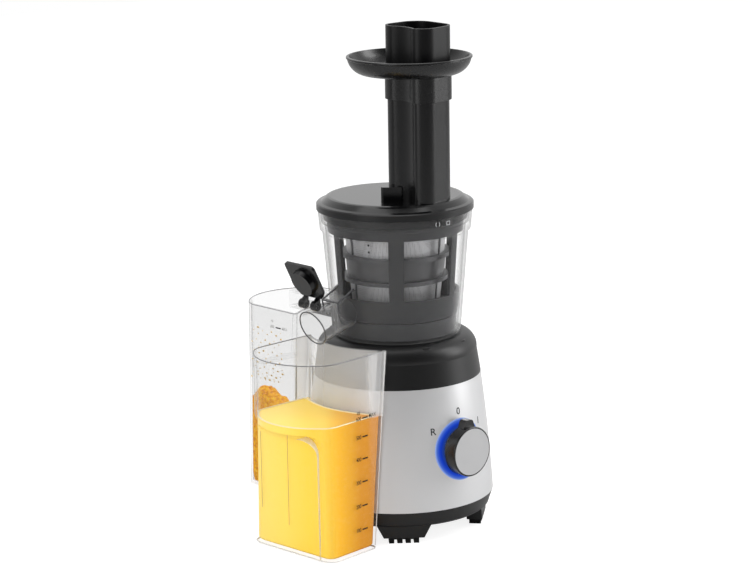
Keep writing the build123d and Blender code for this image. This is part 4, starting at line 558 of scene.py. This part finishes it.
def vessel_section(height, inset):
    """A vessel's level outline at a height, drawn in by an inset, as (along, aside) points."""
    def corner_of(along, aside, along_move, aside_move):
        return (at_height(along, height) + inset * along_move,
                at_height(aside, height) + inset * aside_move)

    bay = at_height(bay_radius, height) + inset
    half = at_height(bay_half, height) - inset * 0.8
    bay_end = (math.sqrt(bay ** 2 - half ** 2), half)
    nose = corner_of(nose_along, nose_aside, 0.95, -0.7)
    side = corner_of(side_along, side_aside, 0.4, -1.0)
    shoulder = corner_of(shoulder_along, shoulder_aside, -0.2, -1.0)
    corner = corner_of(corner_along, corner_aside, -0.7, -0.7)
    face = corner_of(face_along, face_aside, -0.85, -0.5)
    front = (at_height(front_along, height) - inset, 0.0)
    sweep = math.atan2(half, bay_end[0])
    half_steps = bay_steps // 2
    points = [(bay * math.cos(sweep * i / half_steps), bay * math.sin(sweep * i / half_steps))
              for i in range(-half_steps, half_steps + 1)]
    points += arc_points(bay_end, nose, side, corner_steps)[1:]
    points += [(side[0] + (shoulder[0] - side[0]) * i / side_steps,
                side[1] + (shoulder[1] - side[1]) * i / side_steps)
               for i in range(1, side_steps)]
    points += arc_points(shoulder, corner, face, corner_steps)
    other_side = [(x, -y) for x, y in points[bay_steps + 1:-2]]
    points += arc_points(face, front, (face[0], -face[1]), front_steps)[1:]
    return points + other_side[::-1]


def vessel_line(height, inset, turn, shift, gripped=False):
    """A vessel's outline in the machine's frame; gripped has its flat hand hold let in."""
    rise = max(0.0, height - arch_foot)
    hold = 0.0
    if gripped and rise < arch_radius:
        hold = arch_flat + math.sqrt(arch_radius ** 2 - rise ** 2)
    line = []
    for x, y in vessel_section(height, inset):
        if abs(y) < hold:
            x = min(x, grip_flat - inset)
        line.append((*set_down(x, y, turn, shift), height))
    return line


def edge_line(name, points, radius, material, body, closed=True):
    """A fine round bead along a line of points in millimetres from the machine's axis."""
    line = bpy.data.curves.new(name, "CURVE")
    line.dimensions = "3D"
    line.bevel_depth = radius * mm
    line.bevel_resolution = 2
    line.use_fill_caps = True
    spline = line.splines.new("POLY")
    spline.points.add(len(points) - 1)
    for target, point in zip(spline.points, points):
        target.co = (*place(*point), 1.0)
    spline.use_cyclic_u = closed
    finish_piece(name, traced(name, line), material, body)


def open_edge(name, points, radius, material, body):
    """A fine bead that ends where its line ends."""
    edge_line(name, points, radius, material, body, closed=False)


# Painted reflection: grey beads along the rims of the jug and the container.
rim_dark_reflection = grained("painted_rim_reflection", "#6a6a6c", "#757577", 0.25, 0.8, 0.003)
edge_line("jug_rim", vessel_line(vessel_tall - rim_bead, rim_inset, *jug_place), rim_bead,
          rim_dark_reflection, "juice_jug")
pale_grey = grained("painted_pale_rim_reflection", "#9a9a9c", "#a5a5a7", 0.25, 0.8, 0.003)
edge_line("container_rim", vessel_line(vessel_tall - rim_bead, rim_inset, *container_place),
          rim_bead, pale_grey, "pulp_container")
mouth_points = []
for step in range(48):
    angle = 2 * math.pi * step / 48
    up = mouth_up * math.sin(angle)
    mouth_points.append((
        mouth_x - math.sin(spout_lean) * up + math.cos(spout_lean) * mouth_proud,
        mouth_half * math.cos(angle),
        mouth_height + math.cos(spout_lean) * up + math.sin(spout_lean) * mouth_proud))
# Painted shade and reflection: the darkest grey beads, along the spout's mouth and its brace.
dark_line_painted = grained("painted_dark_edge_lines", "#4a4a4c", "#545456", 0.25, 0.8, 0.003)
edge_line("spout_rim", mouth_points, 0.5, dark_line_painted, "bowl")
for side, aside in (("near", -brace_half), ("far", brace_half)):
    open_edge("brace_edge_" + side, [(x, aside, z) for x, z in brace_side], 0.75, dark_line_painted,
              "bowl")
end_x, end_z = brace_side[2]
open_edge("brace_edge_end", [(end_x, -brace_half, end_z), (end_x, brace_half, end_z)], 0.6,
          dark_line_painted, "bowl")

# ---- spout's underside and its root on the bowl
# The spout is one moulding with the bowl, a cone that widens and falls outwards. The dark lines
# along its thick lower corner and round the fillet at its root are painted shade, drawn as grey
# beads.
spout_root_x, spout_root_height, spout_fall = -46.0, 174.5, 0.1725
spout_root_radius, spout_flare = 10.4, 0.089
fillet_radius, fillet_height, bowl_radius_there = 10.6, 173.6, 51.8


def spout_point(x, y_share, z_share):
    """A point just inside the spout's skin: its place along the spout, and shares of its radius."""
    run = spout_root_x - x
    radius = spout_root_radius + spout_flare * run - 0.4
    return (x, y_share * radius, spout_root_height - spout_fall * run + z_share * radius)


open_edge("spout_under_edge", [spout_point(-54.0 - 3.0 * i, -0.29, -0.956) for i in range(9)],
          0.7, dark_line_painted, "bowl")
root_ring = []
for step in range(40):
    angle = 2 * math.pi * step / 40
    y = fillet_radius * math.cos(angle)
    root_ring.append((-math.sqrt(bowl_radius_there ** 2 - y ** 2), y,
                      fillet_height + fillet_radius * math.sin(angle)))
edge_line("spout_root_ring", root_ring, 0.4, dark_line_painted, "bowl")

# ---- juice in the jug
# Fresh juice with fine pulp in it: thick, cloudy, hardly see-through. Its light and shade are
# painted into its colour, pale yellow at the lit end deepening to orange at the shaded end, and it
# carries a faint painted glow in its own colour.
juice_floor, juice_inset = 2.5, 2.08
plan_height, foot_rounding = 80.0, 1.2


def vessel_fill(name, low, top, shares, inset, turn, shift, rings=1):
    """What fills a vessel from its floor up to a top: it follows the walls and the flat grip.

    Top gives the height at a place, shares say how far up each row of points lies, and rings how
    many steps the top takes from the wall to its middle."""
    form = bmesh.new()
    tops = [top(x, y) for x, y, _ in vessel_line(plan_height, inset, turn, shift, True)]
    rows = []
    for number, share in enumerate(shares):
        rounding = foot_rounding if number == 0 else 0.0
        row = []
        for index, level in enumerate(tops):
            height = low + (level - low) * share
            line = vessel_line(height, inset + rounding, turn, shift, gripped=True)
            row.append(form.verts.new(place(*line[index])))
        rows.append(row)
    edge = [vessel_line(level, inset, turn, shift, gripped=True)[index][:2]
            for index, level in enumerate(tops)]
    middle = (sum(p[0] for p in edge) / len(edge), sum(p[1] for p in edge) / len(edge))
    for ring in range(1, rings):
        share = ring / rings
        row = []
        for x, y in edge:
            px, py = x + (middle[0] - x) * share, y + (middle[1] - y) * share
            row.append(form.verts.new(place(px, py, top(px, py))))
        rows.append(row)
    for lower, upper in zip(rows, rows[1:]):
        for i in range(len(lower)):
            j = (i + 1) % len(lower)
            form.faces.new((lower[i], lower[j], upper[j], upper[i]))
    form.faces.new(rows[0][::-1])
    form.faces.new(rows[-1])
    bmesh.ops.recalc_face_normals(form, faces=form.faces)
    return mesh_from(name, form)


# Rows of points above the juice's floor, with close ones at the foot, the arch and the surface.
juice_rows = [0.0, 1.5] + [4.18 * i for i in range(1, 23)] + [93.5, 94.7, 99.9, 100.3]
juice_mesh = vessel_fill("juice", juice_floor, lambda x, y: juice_top,
                         [row / juice_rows[-1] for row in juice_rows], juice_inset, *jug_place)
juice_fill, tree = new_material("cloudy_juice_painted_shade")
where = add_node(tree, "ShaderNodeNewGeometry")
# Painted light and shade: the colour runs from pale yellow to deep orange along one level direction
# in the room.
shade_direction = Vector((0.737, -0.676, 0.0))
across = add_node(tree, "ShaderNodeVectorMath", {
    0: where.outputs["Position"], 1: tuple(shade_direction)}, operation="DOT_PRODUCT")
share = add_node(tree, "ShaderNodeMapRange", {
    "Value": across.outputs["Value"], "From Min": place(-129, 20, 0).dot(shade_direction),
    "From Max": place(-53, -40, 0).dot(shade_direction)})
painted_juice_shade = add_node(tree, "ShaderNodeValToRGB", {"Fac": share.outputs["Result"]})
painted_juice_shade.color_ramp.elements[0].color = colour("#fadb70")
painted_juice_shade.color_ramp.elements[1].color = colour("#c8801a")
for spot, code in ((0.22, "#fddb62"), (0.42, "#fad248"), (0.55, "#f8ce4c"), (0.66, "#ecb020"),
                   (0.82, "#d28c1c")):
    painted_juice_shade.color_ramp.elements.new(spot).color = colour(code)
specks = add_node(tree, "ShaderNodeTexNoise", {
    "Vector": where.outputs["Position"], "Scale": 350.0, "Detail": 4.0})
speck_share = add_node(tree, "ShaderNodeMapRange", {
    "Value": specks.outputs["Fac"], "From Min": 0.5, "From Max": 1.0, "To Max": 0.12})
cloudy = add_node(tree, "ShaderNodeMix", {
    "Factor": speck_share.outputs["Result"], "A": painted_juice_shade.outputs["Color"],
    "B": colour("#ffe9a4")}, data_type="RGBA")
# Painted glow: the juice gives off a little of its own colour.
liquid = add_node(tree, "ShaderNodeBsdfPrincipled", {
    "Base Color": cloudy.outputs["Result"], "Roughness": 0.35, "IOR": 1.34,
    "Emission Color": cloudy.outputs["Result"], "Emission Strength": 0.2})
add_node(tree, "ShaderNodeOutputMaterial", {"Surface": liquid.outputs["BSDF"]})
finish_piece("juice", juice_mesh, juice_fill, "juice_jug")
# A painted highlight runs round the wall at the juice's surface, as a pale bead.
meniscus_highlight = grained("painted_meniscus_line", "#fff2c8", "#fdecb4", 0.3, 0.6, 0.01)
edge_line("juice_edge", vessel_line(juice_top + 0.1, 2.75, *jug_place), 0.65, meniscus_highlight,
          "juice_jug")

# ---- grip of the jug
# A flat hand hold let into the rounded front under an arch. A pale strip on its square inner edge
# is a painted highlight down the side, and a fine grey bead under the arch is painted shade.
grip_half, grip_foot = 20.0, 2.0
spring_height = 82.0
edge_front = 118.5
grip_highlight = grained("painted_pale_grip_band", "#fff8e4", "#fdf4d8", 0.3, 0.8, 0.003)
painted_grip_lines = grained("painted_grip_shade_line", "#8d8268", "#9a8f74", 0.3, 0.8, 0.003)


def jug_point(along, aside, height):
    """A point of the jug in the machine's frame."""
    return (*set_down(along, aside, *jug_place), height)


def front_reach(aside, height):
    """How far the jug's rounded front reaches, at a distance aside and a height."""
    half = at_height(face_aside, height)
    reach = at_height(front_along, height)
    bulge = reach - at_height(face_along, height)
    radius = (half ** 2 + bulge ** 2) / (2 * bulge)
    return reach - radius + math.sqrt(max(radius ** 2 - aside ** 2, 0.0))


# Painted highlight: a thin pale strip along the grip's inner edge.
upright = [(grip_half + arch_radius, grip_foot + 80.0 * i / 16) for i in range(17)]
bend = [(grip_half + arch_radius * math.cos(math.radians(t)),
         spring_height + arch_radius * math.sin(math.radians(t))) for t in range(10, 91, 8)]
form = bmesh.new()
rows = []
for aside, height in upright + bend:
    far = max(front_reach(aside, height) - 0.1, edge_front + 0.4)
    rows.append([form.verts.new(place(*jug_point(x, aside, height))) for x in (edge_front, far)])
for first, second in zip(rows, rows[1:]):
    form.faces.new((first[0], first[1], second[1], second[0]))
bmesh.ops.solidify(form, geom=form.faces[:], thickness=0.15 * mm)
bmesh.ops.recalc_face_normals(form, faces=form.faces)
finish_piece("grip_edge", mesh_from("grip_edge", form), grip_highlight, "juice_jug")

# The foot and the corner next to the spout carry painted highlights, pale beads where light runs
# along the wall.
painted_bright_edge = grained("painted_highlight_edge", "#e9e9e9", "#f0f0f0", 0.25, 0.8, 0.003)
edge_line("jug_foot", vessel_line(1.0, 0.5, *jug_place, gripped=True), 0.6, painted_bright_edge,
          "juice_jug")
corner_line = [jug_point(at_height(nose_along, z), at_height((38.8, 39.4), z), z)
               for z in range(2, 151, 4)]
open_edge("jug_corner", corner_line, 0.35, painted_bright_edge, "juice_jug")
crown_height = spring_height + arch_radius - 0.3
open_edge("grip_arch_line", [jug_point(118.0, 12.0 - 4.0 * i, crown_height) for i in range(12)],
          0.3, painted_grip_lines, "juice_jug")
# Two fine upright grey lines in the grip are painted dark lines, for edges seen through the clear
# wall.
for side, aside, low, high in (("middle", -1.0, 22.0, 93.0), ("left", -30.0, 30.0, 90.0)):
    open_edge("grip_line_" + side, [jug_point(118.2, aside, z) for z in (low, high)], 0.16,
              painted_grip_lines, "juice_jug")

# ---- pulp in the container
# Pressed pulp: damp crumbs of fruit, piled where they drop, each 2 to 3 mm across. The crumbs carry
# a faint painted glow in their own colour.
pulp_floor, pulp_inset, pulp_rings = 2.5, 2.15, 12
crumb_mm, wisp_mm = 2.2, 3.5


def heap_level(x, y):
    """Height of the pulp at a place: a low bed, a mound under the outlet and uneven crumbs."""
    mound = 27.0 * math.exp(-((x + 12) ** 2 + (y - 142) ** 2) / 420.0)
    crumb = (noise.noise(Vector((x, y, 3.0)) * 0.16) * 3.0
             + noise.noise(Vector((x, y, 9.0)) * 0.45) * 1.6)
    return 55.0 + mound + crumb


pulp_mesh = vessel_fill("pulp", pulp_floor, heap_level, [i / 10 for i in range(11)], pulp_inset,
                        *container_place, pulp_rings)
pulp_stuff, tree = new_material("damp_pulp_painted_glow")
where = add_node(tree, "ShaderNodeTexCoord")
crumbs = add_node(tree, "ShaderNodeTexVoronoi", {
    "Vector": where.outputs["Object"], "Scale": 1000 / crumb_mm})
wisps = add_node(tree, "ShaderNodeTexNoise", {
    "Vector": where.outputs["Object"], "Scale": 1000 / wisp_mm, "Detail": 5.0,
    "Roughness": 0.7})
crumb_tone = add_node(tree, "ShaderNodeValToRGB", {"Fac": wisps.outputs["Fac"]})
crumb_tone.color_ramp.elements[0].position = 0.3
crumb_tone.color_ramp.elements[0].color = colour("#b86a04")
crumb_tone.color_ramp.elements[1].position = 0.72
crumb_tone.color_ramp.elements[1].color = colour("#ffd84a")
for spot, code in ((0.4, "#e08a02"), (0.5, "#f6a806"), (0.6, "#ffc010")):
    crumb_tone.color_ramp.elements.new(spot).color = colour(code)
lumps = add_node(tree, "ShaderNodeBump", {
    "Height": crumbs.outputs["Distance"], "Strength": 0.8, "Distance": 1.2 * mm})
# Painted glow: the pulp gives off a little of its own colour.
mash = add_node(tree, "ShaderNodeBsdfPrincipled", {
    "Base Color": crumb_tone.outputs["Color"], "Roughness": 0.5, "IOR": 1.36,
    "Normal": lumps.outputs["Normal"], "Emission Color": crumb_tone.outputs["Color"],
    "Emission Strength": 0.3})
add_node(tree, "ShaderNodeOutputMaterial", {"Surface": mash.outputs["BSDF"]})
finish_piece("pulp", pulp_mesh, pulp_stuff, "pulp_container")

# ---- splashes on the container's wall
# Small bits of fruit thrown up the inside of the flat wall, where they stick as thin flat drops.
# They thin out upwards, and their places come from steps that never line up.
splash_count, wall_depth = 64, 2.35
splash = grained("thin_fruit_splash", "#ffdf9e", "#ffd080", 0.4, 0.8, 0.02)
form = bmesh.new()
for number in range(splash_count):
    along = 74.0 + 38.0 * ((number * 0.7549) % 1.0)
    height = 90.0 + 44.0 * ((number * 0.5698 + 0.13) % 1.0) ** 1.5
    spot, way = wall_surface(along, height, *container_place)(0.0, 0.0)
    size = 0.35 + 0.5 * ((number * 0.77) % 1.0)
    flat = Matrix.Diagonal((0.35, 1.0 + 0.5 * (number % 3), 1.0, 1.0))
    bmesh.ops.create_icosphere(
        form, subdivisions=2, radius=size * mm,
        matrix=Matrix.Translation(place(*(spot - way * wall_depth))) @ flat)
finish_piece("fruit_splash", mesh_from("fruit_splash", form), splash, "pulp_container")

# ---- worktop
# A sheet of white paper laid flat. It looks evenly bright to the eye and in clear plastic, keeps
# the soft shadow of the machine, and throws a duller white back on it.
form = bmesh.new()
bmesh.ops.create_grid(form, x_segments=2, y_segments=2, size=3.0)
floor_mesh = mesh_from("worktop", form)
floor = bpy.data.objects.new("worktop", floor_mesh)
bpy.context.scene.collection.objects.link(floor)


def looked_at(tree):
    """The kind of ray, and a share that is 1 for the eye, straight or through clear plastic."""
    rays = add_node(tree, "ShaderNodeLightPath")
    seen = add_node(tree, "ShaderNodeMath", {
        0: rays.outputs["Is Camera Ray"], 1: rays.outputs["Is Transmission Ray"]},
        operation="MAXIMUM")
    return rays, seen


sheet_white, tree = new_material("white_paper_sweep")
paper = add_node(tree, "ShaderNodeBsdfDiffuse", {"Color": colour("#dcdcdc")})
dim_paper = add_node(tree, "ShaderNodeBsdfDiffuse", {"Color": colour("#a0a0a0")})
lift = add_node(tree, "ShaderNodeEmission", {"Color": colour("#ffffff"), "Strength": 0.86})
both = add_node(tree, "ShaderNodeAddShader", {
    0: dim_paper.outputs["BSDF"], 1: lift.outputs["Emission"]})
_, seen = looked_at(tree)
floor_mix = add_node(tree, "ShaderNodeMixShader", {
    0: seen.outputs["Value"], 1: paper.outputs["BSDF"], 2: both.outputs["Shader"]})
add_node(tree, "ShaderNodeOutputMaterial", {"Surface": floor_mix.outputs["Shader"]})
floor_mesh.materials.append(sheet_white)

# ---- room and lights
# A white room under a soft daylight sky. Shiny surfaces mirror it bright on the far side and dark
# on the near side, so black plastic keeps its depth. Three large soft lamps stand round it.
far_side = (0.676, 0.737, 0.0)
world = bpy.data.worlds.new("white_room")
bpy.context.scene.world = world
world.use_nodes = True
tree = world.node_tree
tree.nodes.clear()
rays, seen = looked_at(tree)
room = add_node(tree, "ShaderNodeBackground", {"Color": colour("#e6e6e6"), "Strength": 0.6})
white = add_node(tree, "ShaderNodeBackground", {"Color": colour("#ffffff"), "Strength": 1.0})
where = add_node(tree, "ShaderNodeTexCoord")
depth = add_node(tree, "ShaderNodeVectorMath", {
    0: where.outputs["Generated"], 1: far_side}, operation="DOT_PRODUCT")
behind = add_node(tree, "ShaderNodeMapRange", {
    "Value": depth.outputs["Value"], "From Min": -0.7, "From Max": 0.7, "To Min": 0.04,
    "To Max": 1.0}, interpolation_type="SMOOTHSTEP")
mirrored = add_node(tree, "ShaderNodeBackground", {
    "Color": colour("#ffffff"), "Strength": behind.outputs["Result"]})
sky = add_node(tree, "ShaderNodeMixShader", {
    0: rays.outputs["Is Glossy Ray"], 1: room.outputs["Background"],
    2: mirrored.outputs["Background"]})
shown = add_node(tree, "ShaderNodeMixShader", {
    0: seen.outputs["Value"], 1: sky.outputs["Shader"], 2: white.outputs["Background"]})
add_node(tree, "ShaderNodeOutputWorld", {"Surface": shown.outputs["Shader"]})


def soft_box(name, offset, aim, width, height, power):
    """A large soft studio light, set off from the point it aims at."""
    data = bpy.data.lights.new(name, "AREA")
    data.shape = "RECTANGLE"
    data.size = width
    data.size_y = height
    data.energy = power
    lamp = bpy.data.objects.new(name, data)
    bpy.context.scene.collection.objects.link(lamp)
    lamp.location = aim + Vector(offset)
    lamp.rotation_euler = (aim - lamp.location).to_track_quat("-Z", "Y").to_euler()


middle = place(0, 0, 190)
soft_box("key_light", (1.3, -1.1, 0.7), middle, 0.7, 1.6, 22)
soft_box("left_light", (-1.6, -0.2, 0.6), middle, 0.8, 1.4, 11)
soft_box("top_light", (0.0, 0.1, 1.6), middle, 1.4, 1.4, 12)

# ---- camera
# A long lens two metres off and a little above the machine, on the jug's side of the knob. It looks
# slightly down, and leans a degree to one side.
turn, tilt, roll = math.radians(-42.5), math.radians(12.724), math.radians(-0.926)
distance, aim_height, aim_left = 2.0, 185, 16.237
film_width, focal_pixels, picture_width = 36.0, 2599.92, 750
back = Vector((math.sin(turn) * math.cos(tilt), -math.cos(turn) * math.cos(tilt),
               math.sin(tilt)))
right = Vector((math.cos(turn), math.sin(turn), 0))
up = back.cross(right)
side_axis = right * math.cos(roll) + up * math.sin(roll)
up_axis = up * math.cos(roll) - right * math.sin(roll)
eye = place(0, 0, aim_height) - right * aim_left * mm + back * distance
lens = bpy.data.cameras.new("camera")
lens.sensor_width = film_width
lens.lens = film_width * focal_pixels / picture_width
lens.clip_end = 20
camera = bpy.data.objects.new("camera", lens)
bpy.context.scene.collection.objects.link(camera)
axes = Matrix((side_axis, up_axis, back)).transposed().to_4x4()
camera.matrix_world = Matrix.Translation(eye) @ axes
bpy.context.scene.camera = camera
bpy.context.scene.view_settings.view_transform = "Standard"
